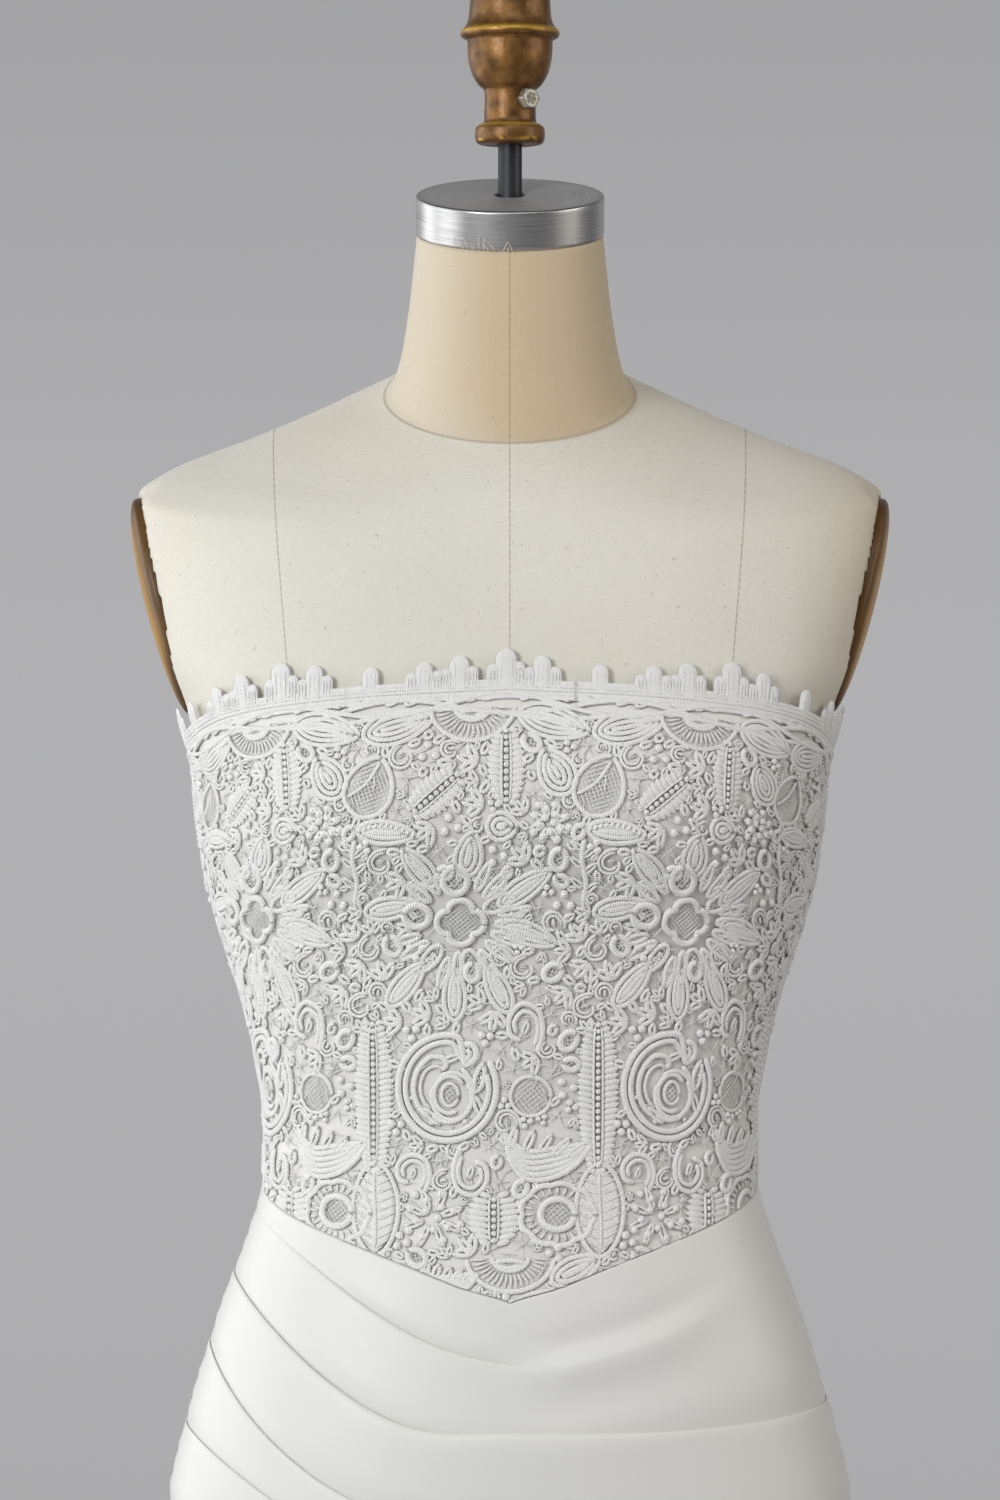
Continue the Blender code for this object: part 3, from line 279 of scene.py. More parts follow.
def eased(knots, values, at, slopes=None):
    """A smooth curve through (knot, value) pairs: cubic Hermite, each knot's slope the harmonic mean of the
    runs beside it, level at a turn, unless slopes are given."""
    at = np.clip(at, knots[0], knots[-1])
    if slopes is None:
        runs = np.diff(values) / np.diff(knots)
        product, total = runs[:-1] * runs[1:], runs[:-1] + runs[1:]
        inner = np.where(product > 0, 2 * product / np.where(product > 0, total, 1), 0)
        slopes = np.concatenate([runs[:1], inner, runs[-1:]])
    i = np.clip(np.searchsorted(knots, at, side="right") - 1, 0, len(knots) - 2)
    width = knots[i + 1] - knots[i]
    t = (at - knots[i]) / width
    return (
        values[i] * (1 + 2 * t) * (1 - t) ** 2
        + values[i + 1] * t**2 * (3 - 2 * t)
        + width * slopes[i] * t * (1 - t) ** 2
        - width * slopes[i + 1] * t**2 * (1 - t)
    )


def smoothstep(t):
    t = np.clip(t, 0, 1)
    return t * t * (3 - 2 * t)


def torso(angle, height):
    """The torso: a superellipse at each height, two soft bust rounds in front, and a forward lean. Angle 0 is
    the centre front and grows towards +X."""
    half_width, front, back, square, tilt = (
        eased(SECTION_COLUMNS["height"], SECTION_COLUMNS[name], height) for name in Section._fields[1:]
    )
    across, ahead = np.sin(angle), np.cos(angle)
    depth = np.where(ahead > 0, front, back)
    radius = (np.abs(across / half_width) ** square + np.abs(ahead / depth) ** square) ** (-1 / square)
    x, y = radius * across, -radius * ahead
    fall = np.where(height > BUST_HEIGHT, BUST_ABOVE, BUST_BELOW)
    round_up = np.exp(-(((height - BUST_HEIGHT) / fall) ** 2))
    rounds = sum(np.exp(-(((x - side * BUST_APART) / BUST_WIDE) ** 2)) for side in (-1, 1))
    y = y - BUST_RISE * round_up * rounds * smoothstep(2 * ahead)
    return np.stack([x, y, height + tilt * y], axis=-1)


def cloth(angle, height, away):
    """Points a distance away from the torso, along its outward normal."""
    angle, height, away = np.broadcast_arrays(angle, height, away)
    step = 1e-4
    across = torso(angle + step, height) - torso(angle - step, height)
    upward = torso(angle, height + step) - torso(angle, height - step)
    normal = np.cross(across, upward)
    normal /= np.linalg.norm(normal, axis=-1, keepdims=True)
    return torso(angle, height) + away[..., None] * normal


def armhole_frame(side):
    """The armhole's middle and its three directions: up along the plate, back across it, and out of it."""
    out = np.array([side * math.cos(ARMHOLE_LEAN), 0, -math.sin(ARMHOLE_LEAN)])
    up = np.array([side * math.sin(ARMHOLE_LEAN), 0, math.cos(ARMHOLE_LEAN)])
    return np.array([side * ARMHOLE_CENTRE[0], *ARMHOLE_CENTRE[1:]]), up, np.array([0.0, 1, 0]), out


def turned_in(points):
    """Presses the cover in at each armhole: flat inside its oval, and rounded over at its edge. Points close
    to the edge are first drawn onto it, across the plate, so that it stays a clean oval."""
    for side in (-1, 1):
        centre, up, across, out = armhole_frame(side)
        offset = points - centre
        oval = np.hypot(offset @ up / ARMHOLE_HALF_HEIGHT, offset @ across / ARMHOLE_HALF_DEPTH)
        drawn = smoothstep((0.09 - np.abs(oval - 1)) / 0.055) * smoothstep((offset @ out + 0.030) / 0.015)
        flat = offset - (offset @ out)[..., None] * out
        beside = points[..., 0] * side > 0
        points = points + np.where(beside, drawn * (1 / np.maximum(oval, 0.5) - 1), 0)[..., None] * flat
        oval, above = oval + (1 - oval) * drawn, offset @ out
        ceiling = -PLATE_BELOW - 0.0005 + 0.030 * np.clip((oval - 0.995) / 0.16, 0, 1) ** 0.9
        excess = np.where(beside, np.maximum(above - ceiling, 0), 0)
        points = points - excess[..., None] * out
    return points


turn = np.linspace(0, 2 * math.pi, 300, endpoint=False)
angles = (turn + 0.26 * np.sin(2 * turn))[None, :]
heights = np.concatenate(
    [[FORM_BOTTOM] * 3, FORM_BOTTOM + BOTTOM_ROUND * (1 - np.cos(np.linspace(0, 1, 6) * math.pi / 2)),
     np.linspace(0.77, 1.20, 24), np.linspace(1.205, 1.499, 156)]
)[:, None]
away = -FORM_INSET * smoothstep((1.285 - heights) / 0.03)
seam_dip = 0.00035 * np.exp(-(((heights - NECK_SEAM) / 0.0016) ** 2))
points = cloth(angles, heights, away - seam_dip)
round_in = np.clip((heights - FORM_BOTTOM) / BOTTOM_ROUND, 0, 1)[..., None]
points[..., :2] *= 1 - 0.03 * (1 - np.sqrt(1 - (1 - round_in) ** 2 + 1e-9))
points[0, :, :2] *= 0.001
points[1, :, :2] *= 0.6
points[:3, :, 2] = FORM_BOTTOM
points = turned_in(points)[::-1]
crown = points[:1]
crown_in = crown.mean(axis=1, keepdims=True)
points = np.concatenate([crown_in + (crown - crown_in) * 0.001, points])
levels = np.concatenate([heights[-1:], heights[::-1]])
uv = np.stack(np.broadcast_arrays(angles, levels), -1)


def linen_lines(w, place, uv):
    """1 along the cover's seams: centre front and back, from the shoulders to the bust, and round the neck's
    base. The upright ones show their stitches."""
    x, y, z = (axis_of(place, k) for k in range(3))
    beside = (x.math("ABSOLUTE", x) - (z - 1.281) * 0.086).near(0.108, 0.0006)
    body_only = 1 - axis_of(uv, 1).over(1.4175, 1.4180)
    upright = (x.near(0.0, 0.0006) + beside * body_only) * (0.7 + 0.3 * z.wave(0.0034))
    return w.math("MINIMUM", upright + axis_of(uv, 1).near(NECK_SEAM, 0.0007), 1.0)


def linen_weave(w, place, uv):
    """Fine threads with slubs both ways."""
    return (w.noise(place, 1100.0, 2.0, (1, 1, 0.2)) + w.noise(place, 1100.0, 2.0, (0.2, 0.2, 1))) * 0.5


def linen_colour(w, place, uv):
    """Ecru linen, tanned with age on the neck and round the shoulders' ends, with a few flecks. The tan
    deepens towards the right, the side away from the lamps, where it is partly stain and partly painted
    shade."""
    x, y, z = (axis_of(place, k) for k in range(3))
    # Painted shade as well as stain: the neck's tan and the right shoulder's tan grow towards +X, the side
    # away from the lamps.
    neck = axis_of(uv, 1).over(1.4165, 1.4200) * (0.26 + 0.66 * x.over(-0.060, 0.015))
    tan_and_painted_shade = neck + 0.22 * z.over(1.37, 1.42) + 0.55 * x.over(0.125, 0.190) + 0.12 * (0 - x).over(0.15, 0.19)
    tan_and_painted_shade = tan_and_painted_shade + 0.25 * (w.noise(place, 11.0, 4.0) - 0.5)
    clean = w.noise(place, 9.0, 4.0).over(0.3, 0.7).mixed((0.745, 0.725, 0.645), (0.785, 0.765, 0.685))
    cloth = w.math("MAXIMUM", w.math("MINIMUM", tan_and_painted_shade, 1.0), 0.0).mixed(clean, (0.60, 0.485, 0.325))
    threads = (linen_weave(w, place, uv).over(0.35, 0.65) * 0.16).mixed(cloth, (0.60, 0.56, 0.46))
    flecks = w.noise(place, 430.0, 0.0).over(0.80, 0.84) * 0.30
    marks = w.math("MAXIMUM", linen_lines(w, place, uv) * 0.42, flecks)
    return marks.mixed(threads, (0.35, 0.28, 0.19))


linen = finish_named(
    "cover_linen",
    {"Specular IOR Level": 0.18, "Sheen Weight": 0.25, "Sheen Roughness": 0.5},
    Base_Color=linen_colour,
    Roughness=lambda w, p, uv: 0.82 + 0.1 * linen_weave(w, p, uv),
    Normal=lambda w, p, uv: w.bump(linen_weave(w, p, uv) - 1.4 * linen_lines(w, p, uv), 0.0004, 0.8),
)
cover = grid_surface("linen_cover", points, uv, linen, closed=True)
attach(cover, BODY)
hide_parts("form_body")

# The armholes: two pressed plates painted ochre, rubbed dark at their rims, screwed into the ends of the
# shoulders.
GAP = 0.0003
PLATE_COLUMNS, PLATE_ROWS = 96, 24


def ochre_paint(w, p, uv):
    """Ochre, dark with wear at the rim and in clouds."""
    worn = axis_of(uv, 1).over(0.72, 1.0) * 0.85 + 0.45 * w.noise(p, 35.0, 4.0) - 0.10
    return worn.mixed((0.50, 0.26, 0.035), (0.10, 0.05, 0.015))


gold_paint = finish_named(
    "armhole_paint",
    {"Specular IOR Level": 0.3, "Coat Weight": 0.1, "Coat Roughness": 0.25},
    Base_Color=ochre_paint,
    Roughness=lambda w, p, uv: 0.30 + 0.25 * w.noise(p, 90.0),
    Normal=lambda w, p, uv: w.bump(w.noise(p, 60.0, 3.0), 0.0006, 0.3),
)
for name, side in (("armhole_plate_right", 1), ("armhole_plate_left", -1)):
    centre, up, across, out = armhole_frame(side)
    share = np.linspace(0, 1, PLATE_ROWS)[:, None]
    turn = np.linspace(0, 2 * math.pi, PLATE_COLUMNS, endpoint=False)[None, :] * side
    reach = np.clip(np.sin(share * math.pi / 2), 1e-4, 1.0)
    rise = PLATE_RIM + (PLATE_RISE + PLATE_BELOW - PLATE_RIM) * np.cos(share * math.pi / 2) ** 0.9
    reach = np.concatenate([reach, [[1.0], [0.985]]])
    rise = np.concatenate([rise, [[0.0012], [0.0]]])
    lengthwise = (ARMHOLE_HALF_HEIGHT - GAP) * np.cos(turn)[..., None] * up
    crosswise = (ARMHOLE_HALF_DEPTH - GAP) * np.sin(turn)[..., None] * across
    flat = reach[..., None] * (lengthwise + crosswise)
    points = centre + flat + (rise + GAP - PLATE_BELOW)[..., None] * out
    uv = np.stack(np.broadcast_arrays(turn * 0.05, reach), -1)
    plate = grid_surface(name + "_dome", points, uv, gold_paint, closed=True)
    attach(plate, BODY)
    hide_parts(name)

# The neck: a turned steel cap pressed on its end, a blacked rod through it, a wooden finial painted bronze
# over ochre, and the zinc screw that clamps the finial to the rod. A few threads of the cover's cut edge show
# under the cap.


def turned(name, profile, material, steps=128, step=0.0006, sharp=False):
    """A surface of revolution about Z from (radius, height) rows down its outside, with a row about each
    step."""
    profile = np.maximum(np.asarray(profile, float), (1e-5, -9))
    at = np.concatenate([[0], np.cumsum(np.linalg.norm(np.diff(profile, axis=0), axis=1))])
    where = np.unique(np.concatenate([at, np.arange(0, at[-1], step)]))
    if sharp:
        radius, height = (np.interp(where, at, column)[:, None] for column in profile.T)
    else:
        radius, height = (eased(at, column, where, np.gradient(column, at))[:, None] for column in profile.T)
    angle = np.linspace(0, 2 * math.pi, steps, endpoint=False)[None, :]
    points = np.stack([radius * np.sin(angle), -radius * np.cos(angle), height + 0 * angle], -1)
    uv = np.stack(np.broadcast_arrays(angle, where[:, None]), -1)
    return grid_surface(name, points, uv, material, closed=True)


CAP_RADIUS, CAP_HEIGHT, CAP_ROUND = 0.0471, 0.0195, 0.0012
corner = np.radians(np.linspace(0, 90, 7))
cap_profile = [(0.0077, CAP_HEIGHT - 0.0012), (0.0077, CAP_HEIGHT - 0.0003), (0.0080, CAP_HEIGHT)]
cap_profile += [
    (CAP_RADIUS - CAP_ROUND + CAP_ROUND * math.sin(a), CAP_HEIGHT - CAP_ROUND + CAP_ROUND * math.cos(a))
    for a in corner
]
cap_profile += [(CAP_RADIUS, 0.0004), (CAP_RADIUS - 0.0003, 0.0), (CAP_RADIUS - 0.0015, 0.0)]


def on_band(uv):
    """0 on the cap's flat top, 1 on the band round it."""
    return axis_of(uv, 1).over(0.036, 0.040)


def steel_colour(w, p, uv):
    """Fine turned lines, and a painted highlight: the flat top is made lighter than the band, for the light
    the top catches.
    """
    lines = w.noise(uv, 1.0, 3.0, (1.5, 2200.0, 1)).over(0.3, 0.7) * 0.55
    # Painted highlight: the flat top gets 0.45 more towards the light steel colour than the band.
    return (lines + 0.45 * (1 - on_band(uv))).mixed((0.40, 0.40, 0.405), (0.78, 0.78, 0.78))


steel = finish_named(
    "neck_steel",
    {"Metallic": 1.0},
    Base_Color=steel_colour,
    Roughness=lambda w, p, uv: 0.48 - 0.20 * on_band(uv) + 0.14 * w.noise(uv, 1.0, 2.0, (3.0, 2500.0, 1)),
    Normal=lambda w, p, uv: w.bump(w.noise(uv, 1.0, 3.0, (2.0, 5000.0, 1)), 0.00004, 0.55),
)
cap = turned("neck_cap_turned", cap_profile, steel, 160, 0.002, sharp=True)
lean = math.atan(SECTIONS[-1].tilt)
places = np.empty(len(cap.data.vertices) * 3, np.float32)
cap.data.vertices.foreach_get("co", places)
x, y, z = places.reshape(-1, 3).T
z = z + GAP
backward, upward = y * math.cos(lean) - z * math.sin(lean), y * math.sin(lean) + z * math.cos(lean)
leaned = np.stack([x, backward, upward + SECTIONS[-1].height], -1)
cap.data.vertices.foreach_set("co", leaned.astype(np.float32).ravel())
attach(cap, BODY)
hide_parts("neck_cap")

chance = np.random.default_rng(7)
threads = []
THREAD_HALF = 0.00020
for at in (-0.62, -0.50, -0.44, -0.40, -0.37, -0.33, -0.28, -0.22, -0.15, -0.08, -0.02, 0.03):
    s = np.linspace(0, 1, 7)
    angle = at + chance.uniform(-0.10, 0.10) * s
    rise = 1.4982 + chance.uniform(0.0015, 0.0075) * np.sin(s * chance.uniform(1.3, 2.6))
    path = cloth(angle, np.minimum(rise, SECTIONS[-1].height), 0.0012 + 0.0010 * s)
    path[:, 2] += np.maximum(rise - SECTIONS[-1].height, 0)
    quarters = np.arange(4) * math.pi / 2
    ring = np.stack([np.cos(quarters), 0 * quarters, np.sin(quarters)], -1)
    thick = THREAD_HALF * np.sqrt([0.02, 1, 1, 1, 1, 0.8, 0.02])
    tube = path[:, None, :] + thick[:, None, None] * ring
    threads.append((tube.reshape(-1, 3), grid_quads(7, 4, closed=True)[:, ::-1]))
thread_points, thread_quads = joined(threads)
frayed = surface("frayed_threads", thread_points, thread_quads, thread_points[:, :2], linen)
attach(frayed, BODY)

ROD_RADIUS = 0.0060
rod_foot = SECTIONS[-1].height + ROD_RADIUS * SECTIONS[-1].tilt + GAP
rod_top = rod_foot + 0.062
blacked = finish_named(
    "rod_black",
    {"Metallic": 0.7, "Base Color": (0.035, 0.037, 0.042)},
    Roughness=lambda w, p, uv: 0.30 + 0.35 * w.noise(p, 300.0, 3.0, (1, 1, 0.15)),
    Normal=lambda w, p, uv: w.bump(w.noise(p, 900.0, 2.0, (1, 1, 0.2)), 0.0001, 0.4),
)
rod = turned(
    "neck_rod_turned",
    [(0, rod_top), (0.0056, rod_top), (ROD_RADIUS, rod_top - 0.0004), (ROD_RADIUS, rod_foot), (0, rod_foot)],
    blacked, 48, 0.004, sharp=True,
)
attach(rod, BODY)
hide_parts("neck_rod")

FINIAL_BOTTOM = 1.5440
FINIAL_PROFILE = (
    (0.0000, 0.1330), (0.0040, 0.1327), (0.0075, 0.1315), (0.0110, 0.1292), (0.0135, 0.1262),
    (0.0148, 0.1225), (0.0150, 0.1200), (0.0145, 0.1165), (0.0140, 0.1150), (0.0143, 0.1128),
    (0.0158, 0.1105), (0.0172, 0.1030), (0.0188, 0.0950), (0.0196, 0.0880), (0.0200, 0.0790),
    (0.0201, 0.0720), (0.0204, 0.0665), (0.0209, 0.0625), (0.0217, 0.0600), (0.0229, 0.0580),
    (0.0240, 0.0571), (0.0246, 0.0563), (0.0248, 0.0552), (0.0247, 0.0542), (0.0242, 0.0534),
    (0.0232, 0.0528), (0.0222, 0.0523), (0.0215, 0.0516), (0.0213, 0.0507), (0.0213, 0.0490),
    (0.0212, 0.0460), (0.0209, 0.0425), (0.0202, 0.0390), (0.0191, 0.0352), (0.0177, 0.0323),
    (0.0162, 0.0300), (0.0149, 0.0286), (0.0141, 0.0281), (0.0137, 0.0275), (0.0131, 0.0272),
    (0.0129, 0.0262), (0.0129, 0.0160), (0.0130, 0.0120), (0.0133, 0.0106), (0.0141, 0.0099),
    (0.0155, 0.0095), (0.0166, 0.0087), (0.0173, 0.0072), (0.0175, 0.0050), (0.0174, 0.0026),
    (0.0168, 0.0008), (0.0157, 0.0000), (0.0110, 0.0000), (0.0066, 0.0000), (0.0063, 0.0010),
    (0.0063, 0.0100),
)


def bronze_colour(w, p, uv):
    """Mottled bronze, ochre where the two lips are rubbed, near black in the chips and the crack."""
    up = axis_of(p, 2) - FINIAL_BOTTOM
    turn = axis_of(uv, 0)
    bronze = w.noise(p, 130.0, 4.0).over(0.25, 0.75).mixed((0.09, 0.040, 0.009), (0.25, 0.120, 0.030))
    rubbed = w.math("MAXIMUM", up.near(0.0563, 0.0022), up.near(0.0092, 0.0016))
    rubbed = w.math("MAXIMUM", rubbed, up.near(0.0016, 0.0016) * w.noise(p, 160.0, 2.0).over(0.50, 0.60))
    worn = (rubbed * w.noise(p, 220.0, 2.0).over(0.25, 0.45)).mixed(bronze, (0.52, 0.31, 0.045))
    lips = w.math("MAXIMUM", up.near(0.0565, 0.0030), up.near(0.0012, 0.0028))
    chips = w.noise(p, 420.0, 1.0).over(0.66, 0.70) * lips
    off_crack = turn - 0.20 - (up - 0.068) * 18 + 0.06 * w.noise(p, 260.0)
    crack = off_crack.near(0.0, 0.022) * up.over(0.064, 0.067)
    return w.math("MAXIMUM", chips, crack * up.near(0.080, 0.022)).mixed(worn, (0.03, 0.02, 0.015))


bronze = finish_named(
    "finial_bronze",
    {"Metallic": 0.45, "Specular IOR Level": 0.35, "Coat Weight": 0.12, "Coat Roughness": 0.25},
    Base_Color=bronze_colour,
    Roughness=lambda w, p, uv: 0.30 + 0.18 * w.noise(p, 200.0, 3.0),
    Normal=lambda w, p, uv: w.bump(w.noise(p, 320.0, 4.0) + 0.4 * w.noise(p, 1500.0), 0.0005, 0.5),
)
finial = turned("finial_turned", [(r, FINIAL_BOTTOM + z) for r, z in FINIAL_PROFILE], bronze, 96, 0.0012)
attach(finial, BODY)
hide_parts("finial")

SCREW_TURN, HEAD_SCALE = math.radians(38), 1.12
SCREW_AT, SCREW_HEIGHT = 0.0129 + GAP, FINIAL_BOTTOM + 0.0215
SCREW_ROWS = (  # how far out, how wide, and how much it follows the six sides
    (0.0040, 0.0000, 0.0), (0.0040, 0.0010, 0.0), (0.0038, 0.0016, 0.0), (0.0041, 0.0023, 0.0),
    (0.0042, 0.0030, 0.0), (0.0042, 0.0040, 0.2), (0.0039, 0.0048, 0.9), (0.0036, 0.0050, 1.0),
    (0.0004, 0.0050, 1.0), (0.0000, 0.0049, 1.0), (0.0000, 0.0026, 0.0), (-0.0065, 0.0026, 0.0),
    (-0.0066, 0.0000, 0.0),
)
turn = np.linspace(0, 2 * math.pi, 72, endpoint=False)
six = math.cos(math.pi / 6) / np.cos(np.mod(turn, math.pi / 3) - math.pi / 6)
rows = []
for reach, radius, sided in SCREW_ROWS:
    width = max(radius, 1e-5) * (1 - sided + sided * six) * (HEAD_SCALE if reach > 0 or sided else 1)
    pressed = 0.00022 * np.sin(6 * turn) * (1 if 0.0005 < radius < 0.0030 else 0)
    rows.append(np.stack([width * np.cos(turn), width * np.sin(turn), reach + pressed + 0 * turn], -1))
rows = np.array(rows)
aside = np.array([math.cos(SCREW_TURN), math.sin(SCREW_TURN), 0])
out = np.array([math.sin(SCREW_TURN), -math.cos(SCREW_TURN), 0])
points = rows[..., :1] * aside + rows[..., 1:2] * np.array([0, 0, 1.0])
points = points + (rows[..., 2:] + SCREW_AT) * out + (0, 0, SCREW_HEIGHT)
zinc = finish_named(
    "screw_zinc",
    {"Metallic": 0.9},
    Base_Color=lambda w, p, uv: w.noise(p, 900.0, 3.0).mixed((0.20, 0.19, 0.15), (0.62, 0.60, 0.52)),
    Roughness=lambda w, p, uv: 0.28 + 0.3 * w.noise(p, 700.0),
    Normal=lambda w, p, uv: w.bump(w.noise(p, 900.0, 2.0), 0.0003, 0.6),
)
screw = grid_surface("finial_screw_head", points[:, ::-1], points[..., :2], zinc, closed=True)
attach(screw, BODY)
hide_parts("finial_screw")

# The lining: smooth satin cut like the bodice, seen as plain pale cloth through the lace. It is turned in at
# its top, and a small gap keeps it clear of the zip and of its neighbours at the side seams.
LINING_OUTER = 0.0018
WAIST_SIDE, WAIST_POINT_DROP = 1.0265, 0.0568
ZIP_HALF_WIDTH = 0.0015
NECK_ANGLES = np.radians([0, 30, 50, 62, 75, 90, 125, 180])
NECK_HEIGHTS = np.array([1.2785, 1.2750, 1.2700, 1.2640, 1.2540, 1.2440, 1.2300, 1.2240])


def from_front(angle):
    return np.abs(np.mod(angle + math.pi, 2 * math.pi) - math.pi)


def neckline(angle):
    return eased(NECK_ANGLES, NECK_HEIGHTS, from_front(angle))


def waistline(angle):
    """Level across the back, and down to a point at the centre front in two nearly straight runs."""
    share = np.clip(1 - from_front(angle) / (math.pi / 2), 0, 1)
    return WAIST_SIDE - WAIST_POINT_DROP * (share - 0.05 * smoothstep((share - 0.8) / 0.2))


def panel_ends(side, height, centre_gap):
    """The angles between which a panel lies. Side 0 is the front, 1 the back at +X, which is the right of the
    photo, and -1 the back at -X."""
    seam_gap = GAP / 2 / np.linalg.norm(torso(math.pi / 2 + 0 * height, height)[..., :2], axis=-1)
    zip_gap = centre_gap / np.linalg.norm(torso(math.pi + 0 * height, height)[..., :2], axis=-1)
    if side == 0:
        return seam_gap - math.pi / 2, math.pi / 2 - seam_gap
    if side > 0:
        return math.pi / 2 + seam_gap, math.pi - zip_gap
    return math.pi + zip_gap, 1.5 * math.pi - seam_gap


def between(ends, columns):
    low, high = ends
    return low + (high - low) * np.linspace(0, 1, columns)


lining_satin = finish_named(
    "lining_satin",
    {"Base Color": (0.79, 0.785, 0.755), "Specular IOR Level": 0.35, "Sheen Weight": 0.15},
    Roughness=lambda w, p, uv: 0.42 + 0.08 * w.noise(p, 60.0),
    Normal=lambda w, p, uv: w.bump(w.noise(p, 1500.0, 1.0, (1, 1, 0.2)), 0.0001, 0.3),
)
FULL_ROWS = np.linspace(0, 1, 90)[:, None]
for name, side in (("lining_front", 0), ("lining_back_right", 1), ("lining_back_left", -1)):
    guess = NECK_HEIGHTS[-1] + (WAIST_SIDE - NECK_HEIGHTS[-1]) * FULL_ROWS
    angles = between(panel_ends(side, guess, ZIP_HALF_WIDTH + GAP), 140 if side == 0 else 70)
    top, bottom = neckline(angles) - 0.0012, waistline(angles) + GAP / 2
    heights = top + (bottom - top) * FULL_ROWS
    outside = cloth(angles, heights, LINING_OUTER)
    inside = cloth(angles[:1], heights[:1] - np.array([[0.0], [0.012]]), 0.0009)
    points = np.concatenate([inside[::-1], outside])
    uv = np.stack([angles[:1] * 0.12 + 0 * points[..., 0], points[..., 2]], -1)
    piece = grid_surface(name + "_satin", points, uv, lining_satin)
    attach(piece, BODY)
    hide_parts(name)

# The lace: corded guipure, worked in cotton as flowers, leaves and scrolls of satin stitch over padding
# cords, joined by thin bars. One repeat is drawn flat and laid round the bodice beside itself, following the
# neckline.
Motif = namedtuple("Motif", "kind across up half_width half_height turn")
REPEAT, FLOWER_HEIGHT, FLOWER_ACROSS = 111.0, 1.159, -24.0
MOTIFS = (
    Motif("flower", 0, 0, 21, 20, 0),
    Motif("leaf", -34, 7, 13, 6, 10),
    Motif("leaf", 31, 17, 15, 6, 35),
    Motif("leaf", 33, -6, 14, 6, -20),
    Motif("leaf", -27, -31, 14, 6, 50),
    Motif("leaf", -3, -36, 6, 13, 0),
    Motif("leaf", 18, -33, 6, 13, 25),
    Motif("leaf", 4, 33, 7, 11, -10),
    Motif("leaf", -20, 27, 6, 12, 40),
    Motif("ring", -7, -82, 26, 28, 0),
    Motif("toothed", -44, -86, 10, 35, 0),
    Motif("crook", 31, -52, 9, 12, 0),
    Motif("button", 34, -86, 10, 10, 0),
    Motif("shell", 42, -115, 21, 14, 0),
    Motif("crook", -24, -124, 9, 9, 0),
    Motif("crook", 5, -124, 9, 11, 180),
    Motif("netted", 47, -144, 17, 14, 0),
    Motif("broad", -43, -142, 12, 22, 0),
    Motif("berries", -14, -146, 15, 14, 0),
    Motif("toothed", 16, -146, 13, 12, 0),
    Motif("netleaf", -44, 66, 12, 15, -20),
    Motif("toothed", -12, 62, 9, 14, -50),
    Motif("beadleaf", -36, 44, 14, 6, -5),
    Motif("stem", -52, 25, 5, 15, 0),
    Motif("toothed", 22, 74, 9, 17, 0),
    Motif("berries", 43, 48, 10, 10, 0),
    Motif("leaf", 46, 72, 9, 12, 30),
    Motif("leaf", 20, 46, 8, 7, 0),
    Motif("fan", 6, 98, 20, 12, 0),
    Motif("leaf", -30, 96, 17, 9, 15),
    Motif("leaf", 45, 97, 17, 9, -15),
)
WAIST_MOTIFS = (  # these lie below the solids' pattern, where the bodice comes down to its point
    Motif("fan", 24, -171, 21, 11, 0),
    Motif("shell", -6, -176, 14, 9, 0),
    Motif("leaf", 56, -171, 13, 7, 25),
    Motif("leaf", 36, -186, 12, 5, 20),
    Motif("leaf", 10, -188, 12, 5, -20),
)
Picot = namedtuple("Picot", "across half_width rise")
PICOTS = (
    Picot(-43.5, 4.4, 10.0),
    Picot(-17.5, 4.6, 11.0),
    Picot(-0.5, 5.2, 14.0),
    Picot(22.0, 5.6, 17.0),
    Picot(39.5, 4.8, 13.5),
)
LACE_GROUND = 0.0025
EDGE_UP = 119.5
FINE, MIDDLE, BROAD = 0.7, 1.25, 99.0
ARCHES = {  # across and up, by the widest half width each serves
    FINE: ((-1, 0.06), (0, 1), (1, 0.06)),
    MIDDLE: ((-1, 0.06), (-0.5, 0.92), (0.5, 0.92), (1, 0.06)),
    BROAD: ((-1, 0.06), (-0.72, 0.74), (0, 1), (0.72, 0.74), (1, 0.06)),
}
chance = np.random.default_rng(7)
repeat_work = []


def stroke(path, half, rise, base=0.0, closed=False):
    """A padded band along a flat path, in millimetres: a low arch across, its sides half away from the path,
    that narrows to a round point at both ends unless it is a closed ring."""
    path = np.asarray(path, float)
    half = np.broadcast_to(np.asarray(half, float), len(path)).copy()
    ahead = np.roll(path, -1, 0) - np.roll(path, 1, 0) if closed else np.gradient(path, axis=0)
    ahead /= np.maximum(np.linalg.norm(ahead, axis=1, keepdims=True), 1e-9)
    beside = np.stack([-ahead[:, 1], ahead[:, 0]], 1)
    distance = np.concatenate([[0], np.cumsum(np.linalg.norm(np.diff(path, axis=0), axis=1))])
    lift = np.ones(len(path))
    if not closed:
        to_end = np.minimum(distance, distance[-1] - distance)
        lift = np.sqrt(1 - np.clip(1 - to_end / max(half.max(), 1e-3), 0, 1) ** 2)
        half = half * lift
    across, up = np.array(ARCHES[min(limit for limit in ARCHES if half.max() <= limit)]).T
    flat = path[:, None, :] + beside[:, None, :] * (half[:, None] * across)[..., None]
    high = base + rise * up * lift[:, None] ** 0.6
    uv = np.stack([distance[:, None] + 0 * high, half[:, None] * across], -1)
    rows, n = len(path), len(across)
    i, k = np.meshgrid(np.arange(rows if closed else rows - 1), np.arange(n), indexing="ij")
    quads = corners(i, (i + 1) % rows, k, (k + 1) % n, n)
    return np.concatenate([flat, high[..., None]], -1).reshape(-1, 3), quads, uv.reshape(-1, 2)


